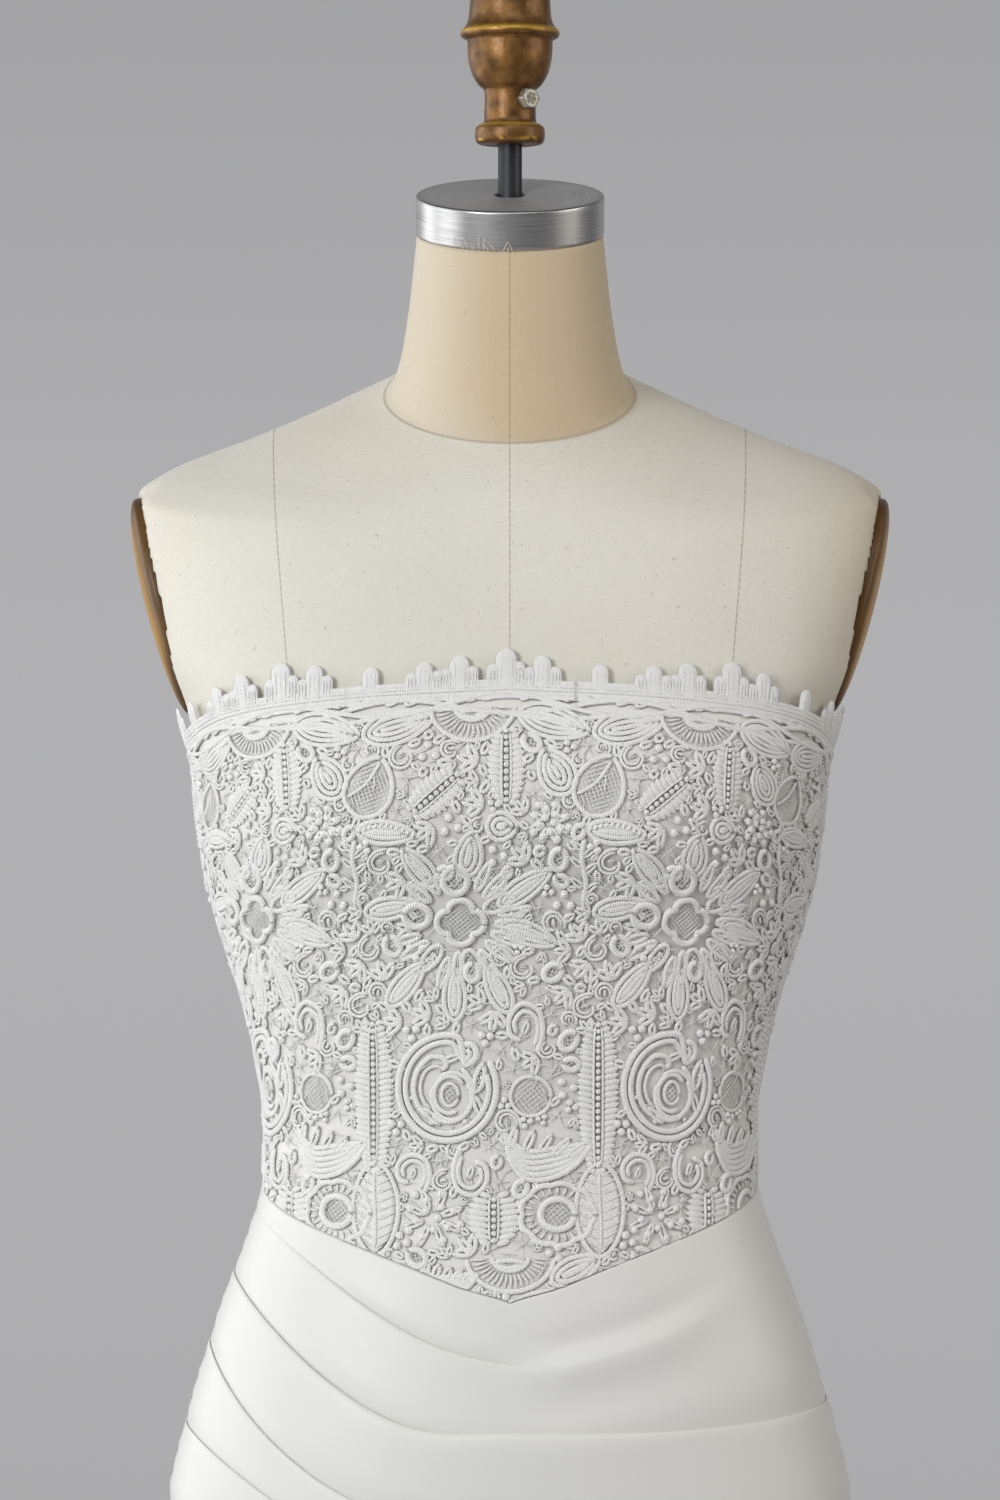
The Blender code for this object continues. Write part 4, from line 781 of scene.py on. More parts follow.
def smooth_path(knots, step=1.5, closed=False):
    """A smooth path through knots, with points about a step apart."""
    knots = np.asarray(knots, float)
    if closed:
        knots = np.concatenate([knots[-3:], knots, knots[:4]])
    at = np.concatenate([[0], np.cumsum(np.linalg.norm(np.diff(knots, axis=0), axis=1))])
    first, last = (at[3], at[-4]) if closed else (at[0], at[-1])
    count = max(int((last - first) / step), 5)
    where = np.linspace(first, last, count, endpoint=not closed)
    return np.stack([eased(at, knots[:, k], where, np.gradient(knots[:, k], at)) for k in (0, 1)], 1)


def oval(w, h, count, start=0.0, end=360.0, lobes=0, lobe=0.0):
    """Points round an ellipse from one angle to another, with round lobes and narrow dips between them."""
    turn = np.radians(np.linspace(start, end, count, endpoint=abs(end - start) < 360))
    size = 1 + lobe * (2 * np.abs(np.cos(lobes * turn / 2)) ** 0.7 - 1.2)
    return np.stack([w * size * np.cos(turn), h * size * np.sin(turn)], 1)


class Sewer:
    """Adds strokes to the repeat at a motif's place and turn."""

    def __init__(self, across, up, turn=0.0):
        self.shift, turn = np.array([across, up]), math.radians(turn)
        self.turn = np.array([[math.cos(turn), math.sin(turn)], [-math.sin(turn), math.cos(turn)]])

    def __call__(self, path, half, rise, base=0.0, closed=False):
        repeat_work.append(stroke(np.asarray(path, float) @ self.turn + self.shift, half, rise, base, closed))

    def at(self, across, up, turn=0.0):
        inner = Sewer(0, 0, turn)
        inner.shift = np.array([across, up]) @ self.turn + self.shift
        inner.turn = inner.turn @ self.turn
        return inner


def toward(degrees):
    """The cosine and sine of an angle in degrees."""
    return math.cos(math.radians(degrees)), math.sin(math.radians(degrees))


def bead(sew, x, y, size, rise=1.3):
    s = np.linspace(-1, 1, 5)
    sew(np.stack([x + size * s, y + 0 * s], 1), size * 1.05, rise, 0.2)


def bead_row(sew, path, size, gap, rise=2.5):
    steps = np.concatenate([[0], np.cumsum(np.linalg.norm(np.diff(path, axis=0), axis=1))])
    for where in np.arange(gap / 2, steps[-1], gap):
        bead(sew, np.interp(where, steps, path[:, 0]), np.interp(where, steps, path[:, 1]), size, rise)


def net(sew, w, h, pitch=2.0, turn=40):
    """Thin crossed threads that fill an oval."""
    for way in (turn, turn + 90):
        c, s = toward(way)
        reach = math.hypot(w * c, h * s)
        for off in np.arange(-reach + pitch * 0.6, reach, pitch):
            base = np.array([c * w * w, s * h * h]) * off / reach**2
            half_length = math.sqrt(max(1 - (off / reach) ** 2, 0)) * w * h / reach
            ends = np.array([[-s], [c]]) @ np.linspace(-half_length, half_length, 3)[None, :]
            sew((base[:, None] + ends).T, 0.33, 0.6, 0.8)


def button(sew, w, h, rim=1.15):
    """An oval of net in a padded ring."""
    net(sew, w - rim * 0.7, h - rim * 0.7)
    sew(oval(w - rim, h - rim, max(int((w + h) * 1.5), 10)), rim, rim * 1.35, 0.1, closed=True)


def leaf(sew, w, h, netted_in=False):
    """A pointed leaf of double lines: padded loops inside each other round a slit, or one loop round a
    net."""
    if h > w:
        sew, w, h = sew.at(0, 0, 90), h, w
    rim = min(0.47 * h, 1.4)
    gone = 0.0
    while h - gone > 1.0:
        turn = np.linspace(0, 2 * math.pi, max(int((w - gone) * 1.5), 11), endpoint=False)
        width = (h - gone - rim) * np.sin(turn) * np.abs(np.sin(turn)) ** 0.25 * (1 - 0.2 * np.cos(turn))
        loop = np.stack([(w - gone - rim) * np.cos(turn), width], 1)
        sew(loop, rim * 0.97, 0.9 + 0.55 * rim, 0.1, closed=True)
        gone += 2 * rim
        if netted_in:
            net(sew, w - gone + 0.5, h - gone + 0.5, 1.9)
            return
    if h - gone > 0.35:
        s = np.linspace(-1, 1, 8)[:, None]
        sew(s * (w - gone, 0.0), h - gone, 1.2, 0.1)


FlowerPart = namedtuple("FlowerPart", "kind turn reach half_length half_width")
FLOWER_PARTS = (
    FlowerPart("button", 97, 21.0, 8.6, 8.0),
    FlowerPart("button", 171, 21.5, 8.2, 7.4),
    FlowerPart("netleaf", 27, 21.5, 10.0, 5.0),
    FlowerPart("netleaf", 284, 22.5, 9.6, 5.6),
    FlowerPart("netleaf", 231, 23.5, 9.6, 4.8),
    FlowerPart("leaf", 47, 26.0, 10.5, 3.6),
    FlowerPart("leaf", 64, 25.0, 9.0, 3.3),
    FlowerPart("leaf", 126, 26.0, 9.6, 3.4),
    FlowerPart("leaf", 144, 25.5, 9.0, 3.3),
    FlowerPart("leaf", 198, 28.0, 8.6, 3.2),
    FlowerPart("leaf", 212, 27.0, 9.8, 3.4),
    FlowerPart("leaf", 252, 26.5, 9.2, 3.5),
    FlowerPart("leaf", 266, 23.5, 9.8, 3.3),
    FlowerPart("leaf", 303, 25.0, 9.4, 3.5),
    FlowerPart("leaf", 322, 24.0, 9.6, 3.7),
    FlowerPart("leaf", 340, 25.0, 10.4, 3.6),
    FlowerPart("leaf", 358, 26.0, 10.4, 3.5),
    FlowerPart("leaf", 12, 27.0, 9.4, 3.0),
)


def flower(sew, w, h):
    """A four-lobed eye of net; round it two net buttons, net petals, and fans of slender double-lined
    petals."""
    for part in FLOWER_PARTS:
        c, s = toward(part.turn)
        place = sew.at(part.reach * c * w / 21, part.reach * s * h / 20, part.turn)
        if part.kind == "button":
            button(place, part.half_length, part.half_width, 2.0)
        else:
            leaf(place, part.half_length, part.half_width, part.kind == "netleaf")
    net(sew, w * 0.50, h * 0.50, 1.7)
    sew(oval(w * 0.49, h * 0.49, 56, 0, 360, 4, 0.16), 1.8, 2.6, 0.1, closed=True)


def curl(x, y, size, start, sweep):
    """Points of a small spiral that closes in on its middle."""
    turn = np.radians(np.linspace(start, start + sweep, 9))
    reach = size * np.linspace(1, 0.35, 9)
    return np.stack([x + reach * np.cos(turn), y + reach * np.sin(turn)], 1)


def ring(sew, w, h):
    """A double-corded scroll, open at its upper right, that curls in round a rosebud."""
    tip = curl(w * 0.36, h * 0.66, w * 0.26, -80, 200)[::-1]
    sew(smooth_path(np.concatenate([tip, oval(w * 0.93, h * 0.93, 17, 78, 392)]), 1.5), 1.85, 2.3)
    tip = curl(w * 0.34, h * 0.62, w * 0.13, -80, 180)[::-1]
    sew(smooth_path(np.concatenate([tip, oval(w * 0.79, h * 0.80, 15, 84, 380)]), 1.6), 1.6, 2.0, 0.1)
    tip = curl(-w * 0.12, h * 0.40, w * 0.17, 110, -210)
    sew(smooth_path(np.concatenate([oval(w * 0.63, h * 0.62, 9, 240, 118), tip]), 1.4), 1.5, 1.9)
    tip = curl(-w * 0.16, h * 0.30, w * 0.10, 120, -170)
    sew(smooth_path(np.concatenate([oval(w * 0.50, h * 0.48, 7, 235, 140), tip]), 1.5), 1.0, 1.5, 0.1)
    bud = sew.at(w * 0.06, -h * 0.12)
    button(bud, w * 0.20, h * 0.24, 1.1)
    petals = ((0.0, 0.30, 30, 300), (0.03, 0.38, 150, 400), (-0.03, 0.47, 225, 420), (0.05, 0.40, 20, 130))
    for out, reach, start, end in petals:
        sew_path = oval(w * reach, h * reach * 1.1, 10, start, end) + (w * out, -h * out)
        bud(smooth_path(sew_path, 1.5), 1.3, 1.7, 0.1)
    leaf(sew.at(w * 0.62, h * 0.18, 75), 8.5, 3.6, netted_in=True)
    leaf(sew.at(w * 0.58, -h * 0.30, 110), 6.5, 2.6)
    leaf(sew.at(-w * 0.30, -h * 0.50, 140), 7.5, 2.6)
    leaf(sew.at(w * 0.10, h * 0.52, 20), 5.5, 2.3)
    for turn in range(8, 360, 30):
        c, s = toward(turn)
        sew(np.outer(np.linspace(0.42, 0.80, 3), (w * c, h * s)), 0.28, 0.5, 0.6)
    for turn in (15, 195, 245, 300):
        bead(sew, w * 0.69 * math.cos(math.radians(turn)), h * 0.69 * math.sin(math.radians(turn)), 1.4)


def toothed(sew, w, h):
    """A leaf of slanted satin-stitched teeth on both sides of a row of beads, which runs between two
    cords."""
    for level in np.arange(-h + 1.6, h - 0.8, 2.9):
        width = w * (1 - (level / h) ** 2) ** 0.42
        for way in (-1, 1):
            knots = [(way * 1.2, level - 0.8), (way * width * 0.6, level), (way * width, level + 1.3)]
            sew(smooth_path(knots, 3.0), 1.7, 1.6, 0.1)
    s = np.linspace(-0.93, 0.93, max(int(h * 0.7), 6))
    for way in (-1, 1):
        sew(np.stack([way * 2.3 * (1 - s**4) ** 0.5, s * h], 1), 0.75, 2.2, 0.1)
    bead_row(sew, np.stack([0 * s, s * h], 1), 1.5, 3.3, 2.7)


def crook(sew, w, h):
    """A double-lined hook with a small leaf in its bend."""
    knots = [
        (w * 0.60, -h), (w * 0.88, -h * 0.1), (w * 0.60, h * 0.68), (-w * 0.1, h * 0.88),
        (-w * 0.75, h * 0.35), (-w * 0.62, -h * 0.35), (-w * 0.12, -h * 0.50),
    ]
    thick = max(0.155 * w, 1.0)
    sew(smooth_path(knots), thick, 0.8 + 0.8 * thick)
    inner = np.array(knots[:-1]) * (1 - 1.9 * thick / w) + (w * 0.03, -h * 0.03)
    sew(smooth_path(inner), thick * 0.85, 0.7 + 0.7 * thick, 0.1)
    leaf(sew.at(w * 0.05, -h * 0.02, 70), h * 0.32, h * 0.16)


def shell(sew, w, h):
    """Nested padded bands that curve round like a shell, with a lobed edge."""
    for k in range(6):
        fall = k / 5
        knots = [
            (-w * (0.96 - 0.10 * fall), h * (0.75 - 0.75 * fall)),
            (-w * 0.45, h * (0.15 - 0.98 * fall) * 0.9),
            (w * 0.10, h * (0.22 - 1.02 * fall) * 0.9),
            (w * 0.60, h * (0.30 - 0.62 * fall)),
            (w * 0.95, h * 0.35),
        ]
        sew(smooth_path(knots), 1.5, 1.3 + 0.7 * (k == 5), 0.15)
    for k in range(5):
        leaf(sew.at(-w * 0.72 + k * w * 0.34, h * (0.55 - 0.10 * k), 75 - 10 * k), h * 0.42, 2.6)


def netted(sew, w, h):
    """An oval of net in a fat ring, with beaded spokes and a wavy cord outside."""
    button(sew, w * 0.55, h * 0.60, 1.9)
    for turn in range(0, 360, 15):
        c, s = toward(turn)
        sew(np.outer(np.linspace(0.60, 0.90, 4), (w * c, h * s)), 0.80, 1.3, 0.2)
    sew(oval(w * 0.96, h * 0.96, 60, lobes=9, lobe=0.045), 1.6, 2.1, 0.1, closed=True)


def broad(sew, w, h):
    """A broad leaf with a rib down its middle and side veins."""
    s = np.linspace(0.02, 0.98, 14)
    sew(np.stack([0 * s, h * (2 * s - 1)], 1) * 0.95, (w - 1.6) * np.sin(math.pi * s) ** 0.6, 1.0, 0.2)
    turn = np.linspace(0, 2 * math.pi, int(h * 1.6), endpoint=False)
    width = (w - 1.3) * np.sin(turn) * np.abs(np.sin(turn)) ** 0.2
    sew(np.stack([-width, (h - 1.3) * np.cos(turn)], 1), 1.35, 1.7, 0.1, closed=True)
    sew(np.stack([0.4 * np.sin(6 * s), h * (2 * s - 1) * 0.85], 1), 0.85, 1.1, 1.0)
    for k in range(-4, 5):
        for way in (-1, 1):
            reach = (w - 2.0) * math.sqrt(max(1 - (k / 5.2) ** 2, 0))
            level = k * h * 0.18
            knots = [(way * 0.6, level - 1.5), (way * reach * 0.55, level + 0.6), (way * reach, level + 3.2)]
            sew(smooth_path(knots), 0.6, 0.85, 0.95)


def berries(sew, w, h):
    """A crowded spray of round knots on short leaves."""
    for turn in range(20, 380, 45):
        c, s = toward(turn)
        leaf(sew.at(w * 0.62 * c, h * 0.62 * s, turn), min(w, h) * 0.42, 2.2)
    for k in range(15):
        reach, turn = math.sqrt((k + 0.5) / 15), k * 2.39996
        bead(sew, w * 0.90 * reach * math.cos(turn), h * 0.90 * reach * math.sin(turn), 2.1, 2.7)


def fan(sew, w, h):
    """A half-round of short ribs between two cords, hung from the edge."""
    for reach in (0.40, 0.93):
        sew(smooth_path(oval(w * reach, h * 1.55 * reach, 12, 185, 355) + (0, h * 0.6)), 1.35, 1.75, 0.1)
    for turn in range(190, 356, 9):
        c, s = toward(turn)
        sew(np.outer(np.linspace(0.46, 0.86, 4), (w * c, h * 1.55 * s)) + (0, h * 0.6), 0.72, 1.05, 0.15)
    leaf(sew.at(0, h * 0.25), w * 0.38, 3.2)


def stem(sew, w, h):
    knots = [(0, -h), (w * 0.25, -h * 0.3), (-w * 0.1, h * 0.4), (w * 0.1, h)]
    sew(smooth_path(knots), 1.5, 1.9)
    for k in (-0.5, 0.1, 0.6):
        leaf(sew.at(w * 0.6, k * h, 40), 5.0, 2.0)
        leaf(sew.at(-w * 0.6, k * h + 3, 140), 5.0, 2.0)


def netleaf(sew, w, h):
    leaf(sew, w, h, netted_in=True)
    sew(smooth_path([(-w * 0.7, -h * 0.5), (-w * 0.2, 0), (w * 0.1, h * 0.8)]), 1.0, 1.3, 0.3)


def beadleaf(sew, w, h):
    leaf(sew, w, h)
    along = np.linspace(-w * 0.9, w * 0.9, 8)
    bead_row(sew, np.stack([along, h * 0.55 * np.sin(np.linspace(0, 3.1, 8))], 1), 1.25, 2.7)


KINDS = {kind.__name__: kind for kind in (
    flower, leaf, ring, toothed, crook, shell, netted, broad, berries, fan, stem, netleaf, beadleaf, button)}
for motif in MOTIFS + WAIST_MOTIFS:
    size = 1.0 if motif.kind in ("flower", "ring") else 1.1
    sew = Sewer(motif.across, motif.up, motif.turn)
    KINDS[motif.kind](sew, motif.half_width * size, motif.half_height * size)

# Its edge: a ribbed band, rounded tabs that stand up from it between lower shoulders, and two cords that
# cross below it in long waves.
EDGE_LAP, TAB_FOOT = 2.5, 113
plain = Sewer(0, 0)
x = np.linspace(-REPEAT / 2 - EDGE_LAP, REPEAT / 2 + EDGE_LAP, 75)
for up, half in ((118.2, 1.3), (116.2, 1.2), (114.2, 1.2), (112.0, 1.3), (109.8, 1.3)):
    plain(np.stack([x, up + 0 * x], 1), half, 1.5, 0.1)
for up, wave, phase, rise in ((106.5, 5.2, 0.4, 2.4), (105.5, 4.6, 3.3, 2.1), (101.5, 3.0, 2.2, 1.7)):
    plain(np.stack([x, up + wave * np.sin(2 * math.pi * x / REPEAT + phase)], 1), 1.45, rise, 0.1)
for picot in PICOTS:
    tabs = ((0, picot.rise, picot.half_width), (-6.2, picot.rise * 0.50, 3.6), (6.2, picot.rise * 0.56, 3.4))
    for across, top, half in tabs:
        if across and picot.rise < 11:
            continue
        s = 1 - (1 - np.linspace(0, 1, 12)) ** 1.8
        tab = np.stack([picot.across + across + 0 * s, TAB_FOOT + (EDGE_UP + top - TAB_FOOT) * s], 1)
        plain(tab, half, 1.6 - 0.3 * (across != 0), 0.15)
        for way in (-0.45, 0.0, 0.45):
            rib = 114 + (EDGE_UP + top - 1.5 - 114) * s[::3]
            plain(np.stack([picot.across + across + way * half + 0 * rib, rib], 1), 0.62, 1.0, 1.2)
for across in np.arange(-51, 56, 9.2):
    leaf(plain.at(across, 110.0 + chance.uniform(-1, 1), chance.uniform(-30, 30)), 4.2, 2.2)

# The ground: the widest gaps stay open, crossed by thin bars, where the solids are cut through. Small leaves,
# rings and hooks fill the rest, each as large as the room left for it.
GAP_LEAST, GAP_MOST, GAP_BAR, GAPS_A_REPEAT = 2.1, 4.6, 1.8, 22


def room_at(points, motifs):
    """How far points lie from every motif's oval, in millimetres."""
    least = np.full(len(points), np.inf)
    for shift in (-REPEAT, 0, REPEAT):
        for motif in motifs:
            c, s = toward(motif.turn)
            dx, dy = points[:, 0] - motif.across - shift, points[:, 1] - motif.up
            along, aside = dx * c + dy * s, dy * c - dx * s
            reach = np.maximum(np.hypot(along / motif.half_width, aside / motif.half_height), 1e-6)
            least = np.minimum(least, np.hypot(along, aside) * (1 - 1 / reach))
    return least


def round_repeat(points, spot):
    """How far points lie from a spot, also across the repeat's ends."""
    away = np.abs(points - spot)
    return np.hypot(np.minimum(away[:, 0], REPEAT - away[:, 0]), away[:, 1])


def spots_between(low, high, step):
    """A square net of points over the repeat, from one height up to another."""
    across, up = np.meshgrid(np.arange(-REPEAT / 2, REPEAT / 2, step), np.arange(low, high, step))
    return np.stack([across, up], -1).reshape(-1, 2)


def filler(kind, sew, r):
    """A figure that fills a circle of radius r: a hook, a button of net, knots, or leaves from one point."""
    if r > 3.0 and kind % 5 == 0:
        crook(sew, r * 0.95, r)
    elif r > 3.0 and kind % 5 == 2:
        button(sew, r * 0.95, r * 0.80, min(0.32 * r, 1.8))
    elif r > 3.0 and kind % 5 == 4:
        for turn in (90, 210, 330):
            c, s = toward(turn)
            bead(sew, r * 0.55 * c, r * 0.55 * s, min(r * 0.48, 2.2), 2.6)
    elif r > 3.0:
        leaves = 3 if r > 4.2 else 2
        for k in range(leaves):
            turn = 90 + (k - (leaves - 1) / 2) * 50
            c, s = toward(turn)
            leaf(sew.at(r * 0.62 * c, r * 0.62 * s - r * 0.45, turn), r * 0.85, min(r * 0.42, 2.9))
    else:
        leaf(sew, r * 1.5, r * 0.95)


spots = spots_between(-158, 92, 2.5)
room_left, gaps = np.minimum(room_at(spots, MOTIFS) - GAP_BAR / 2, GAP_MOST), []
for k in np.argsort(-room_left, kind="stable"):
    to_others = [float(round_repeat(spots[k : k + 1], spot)[0]) - r - GAP_BAR for spot, r in gaps]
    size = min([room_left[k]] + to_others)
    if size >= GAP_LEAST:
        gaps.append((spots[k], size))
gaps = sorted(gaps, key=lambda gap: -gap[1])[:GAPS_A_REPEAT]
for k in range(300):
    spot = chance.uniform((-REPEAT / 2, -186), (REPEAT / 2, 100))
    way = chance.uniform(0, math.pi)
    reach = chance.uniform(5, 10)
    line = np.linspace(-reach, reach, 3)[:, None] * (math.cos(way), math.sin(way))
    plain(line + spot, 0.40, 0.8, 0.8)
spots = spots_between(-190, 102, 1.3)
room_left = np.minimum(room_at(spots, MOTIFS + WAIST_MOTIFS), (100 - spots[:, 1]))
for spot, size in gaps:
    room_left = np.minimum(room_left, round_repeat(spots, spot) - size)
    for way in np.arange(3 if size > 3 else 2) * math.pi / 3 + chance.uniform(0, math.pi):
        line = np.linspace(-size - 1.5, size + 1.5, 3)[:, None] * (math.cos(way), math.sin(way))
        plain(line + spot + chance.uniform(-0.8, 0.8, 2), 0.38, 0.7, 0.9)
for kind in range(420):
    k = int(np.argmax(room_left))
    size = min(room_left[k], 6.0)
    if size < 1.5:
        break
    filler(kind, plain.at(*spots[k], chance.uniform(0, 180)), size * 1.15)
    room_left = np.minimum(room_left, round_repeat(spots, spots[k]) - size)

REPEAT_POINTS, REPEAT_QUADS = joined([(points, quads) for points, quads, _ in repeat_work])
REPEAT_UV = np.concatenate([uv for _, _, uv in repeat_work])

GIRTH_HEIGHTS, GIRTH_ANGLES = np.linspace(0.94, 1.31, 75), np.linspace(-0.7 * math.pi, 1.7 * math.pi, 433)
steps = np.diff(cloth(GIRTH_ANGLES[None, :], GIRTH_HEIGHTS[:, None], 0.0029)[..., :2], axis=1)
GIRTH = np.pad(np.cumsum(np.linalg.norm(steps, axis=-1), axis=1), ((0, 0), (1, 0)))


def girth_at(angle, height):
    """Arc length along the cloth from the table's first angle, read from the table between its nearest four
    values."""
    row = np.interp(height, GIRTH_HEIGHTS, np.arange(len(GIRTH_HEIGHTS)))
    column = np.interp(angle, GIRTH_ANGLES, np.arange(len(GIRTH_ANGLES)))
    i = np.minimum(row.astype(int), len(GIRTH_HEIGHTS) - 2)
    j = np.minimum(column.astype(int), len(GIRTH_ANGLES) - 2)
    u, v = row - i, column - j
    below = GIRTH[i, j] * (1 - v) + GIRTH[i, j + 1] * v
    above = GIRTH[i + 1, j] * (1 - v) + GIRTH[i + 1, j + 1] * v
    return below * (1 - u) + above * u


def angle_at(centre, arc, height):
    """The angle an arc length away from a centre line, by Newton steps."""
    angle = centre + arc / 0.13
    goal = arc + girth_at(np.full_like(arc, centre), height)
    for _ in range(10):
        slope = (girth_at(angle + 0.01, height) - girth_at(angle - 0.01, height)) / 0.02
        angle = angle - (girth_at(angle, height) - goal) / np.maximum(slope, 0.03)
        angle = np.clip(angle, GIRTH_ANGLES[1], GIRTH_ANGLES[-2])
    return angle


def laid(points, start, centre):
    """Where a repeat's points lie: their angle and height, the upper ones following the neckline's fall."""
    arc, level = (start + points[:, 0]) / 1000, FLOWER_HEIGHT + points[:, 1] / 1000
    angle = angle_at(centre, arc, np.clip(level, GIRTH_HEIGHTS[0], 1.27))
    top = NECK_HEIGHTS[0] - (0.004 if centre else 0)
    height = level + (neckline(angle) - top) * smoothstep((level - 1.165) / (NECK_HEIGHTS[0] - 1.165))
    return angle_at(centre, arc, height), height


def stitched(w, p, uv):
    """Slanted satin stitches along every cord, and the cotton's own fuzz."""
    stitches = (axis_of(uv, 0) + 0.5 * w.math("ABSOLUTE", axis_of(uv, 1))).wave(1.15)
    return w.bump(stitches * 0.5 + w.noise(p, 1500.0, 2.0), 0.0004, 0.8)


cotton = finish_named(
    "lace_cotton",
    {"Specular IOR Level": 0.25, "Sheen Weight": 0.7, "Sheen Roughness": 0.5},
    Base_Color=lambda w, p, uv: w.noise(p, 25.0, 3.0).mixed((0.95, 0.95, 0.935), (0.97, 0.97, 0.955)),
    Roughness=lambda w, p, uv: 0.72 + 0.12 * w.noise(p, 400.0),
    Normal=stitched,
)
LaceRun = namedtuple("LaceRun", "name node side first last")
LACE_RUNS = (  # the front's repeats are three meshes, cut between one repeat and the next
    LaceRun("lace_front_left_cords", "lace_front", 0, -2, -1),
    LaceRun("lace_front_middle_cords", "lace_front", 0, 0, 0),
    LaceRun("lace_front_right_cords", "lace_front", 0, 1, 2),
    LaceRun("lace_back_right_cords", "lace_back_right", 1, -2, 0),
    LaceRun("lace_back_left_cords", "lace_back_left", -1, 0, 1),
)
LACE_RELIEF = 0.00072  # metres out for each millimetre of height drawn
lace_pieces = {0: [], 1: [], -1: []}
for run in LACE_RUNS:
    centre = math.pi * abs(run.side)
    all_points, all_quads, all_uv, count = [], [], [], 0
    for k in range(run.first, run.last + 1):
        start = FLOWER_ACROSS + (REPEAT / 2 if run.side else 0) + k * REPEAT
        angle, height = laid(REPEAT_POINTS, start, centre)
        low, high = panel_ends(run.side, height, ZIP_HALF_WIDTH + GAP)
        seam = waistline(np.clip(angle, low, high)) + GAP / 2
        outside = np.stack([angle < low, angle > high, height < seam], 1)
        quads = REPEAT_QUADS[~outside[REPEAT_QUADS].all(axis=1).any(axis=1)]
        if not len(quads):
            continue
        angle, height = np.clip(angle, low, high), np.maximum(height, seam)
        flatten = 0.35 + 0.65 * smoothstep((height - seam) / 0.006)
        beside_zip = smoothstep(np.abs(angle - math.pi) * 0.1 / 0.006) if run.side else 1.0
        away = LACE_GROUND + REPEAT_POINTS[:, 2] * LACE_RELIEF * flatten * (0.6 + 0.4 * beside_zip)
        used = np.unique(quads)
        number = np.zeros(len(REPEAT_POINTS), int)
        number[used] = np.arange(len(used)) + count
        all_points.append(cloth(angle[used], height[used], away[used]))
        all_quads.append(number[quads])
        all_uv.append(REPEAT_UV[used])
        count += len(used)
    piece = surface(run.name, *(np.concatenate(part) for part in (all_points, all_quads, all_uv)), cotton)
    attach(piece, BODY)
    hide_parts(run.node)
    lace_pieces[run.side].append(piece)

# The skirt: heavy matt satin draped over the hips. Six folds cross its front from the left side seam, each
# lower strip over the one above. The second, fourth and sixth are caught in the right seam too; the others
# die out before it.
Fold = namedtuple("Fold", "left_seam lowest right_seam lowest_at falls rises reach strength gape")
FOLDS = (
    Fold(1.0115, 0.9420, 0.9970, 0.58, 1.6, 1.5, 0.66, 0.90, 0.25),
    Fold(0.9800, 0.9060, 0.9190, 0.44, 1.3, 2.2, 1.40, 1.00, 1.30),
    Fold(0.9460, 0.8680, 0.8800, 0.44, 1.9, 1.9, 0.80, 0.90, 0.30),
    Fold(0.9060, 0.8290, 0.8400, 0.50, 1.5, 1.9, 1.40, 0.95, 0.80),
    Fold(0.8650, 0.7880, 0.7990, 0.50, 1.5, 1.9, 0.78, 0.85, 0.20),
    Fold(0.8210, 0.7450, 0.7560, 0.50, 1.5, 1.9, 1.40, 0.90, 0.50),
)
FOLD_RISE_FROM, HEM, ZIP_END = 0.54, 0.530, 0.905
TURNED_EDGE = (  # millimetres up from the fold's line and out from the torso, down the cloth
    (-3.5, 0.9), (-4.1, 1.2), (-3.5, 1.6), (-1.0, 1.7), (0.2, 1.9),
    (0.9, 2.25), (1.0, 2.7), (0.5, 3.15), (-0.8, 3.45), (-3.0, 3.5),
)
FLAT_AWAY, STRIP_SWELL, STRIP_ROWS, HANGING_ROWS = 1.4, 2.1, 15, 60
Crease = namedtuple("Crease", "angle top half_width depth")
CREASES = (
    Crease(-64, 0.800, 0.020, 1.6),
    Crease(-38, 0.745, 0.026, -1.3),
    Crease(-8, 0.700, 0.030, 1.4),
    Crease(24, 0.735, 0.026, -1.5),
    Crease(57, 0.790, 0.022, 1.5),
    Crease(112, 0.900, 0.024, -1.4),
    Crease(141, 0.860, 0.022, 1.3),
    Crease(166, 0.800, 0.018, -1.2),
    Crease(203, 0.840, 0.020, 1.4),
    Crease(228, 0.780, 0.024, -1.3),
    Crease(254, 0.820, 0.022, 1.3),
)
SWELL = ((0.48, 0.9445), (0.56, 0.9445), (0.632, 0.9480), (0.73, 0.9575), (0.81, 0.9700), (0.90, 0.9850))


def fold_line(fold, t):
    """The height of a fold at a share t of the way from the left seam to the right."""
    down = (0.5 * (1 + np.cos(math.pi * np.minimum(t / fold.lowest_at, 1)))) ** fold.falls
    up = np.clip((t - FOLD_RISE_FROM) / (1 - FOLD_RISE_FROM), 0, 1) ** fold.rises
    return fold.lowest + (fold.left_seam - fold.lowest) * down + (fold.right_seam - fold.lowest) * up


def hill(offset, half_width):
    return np.exp(-((offset / half_width) ** 2))


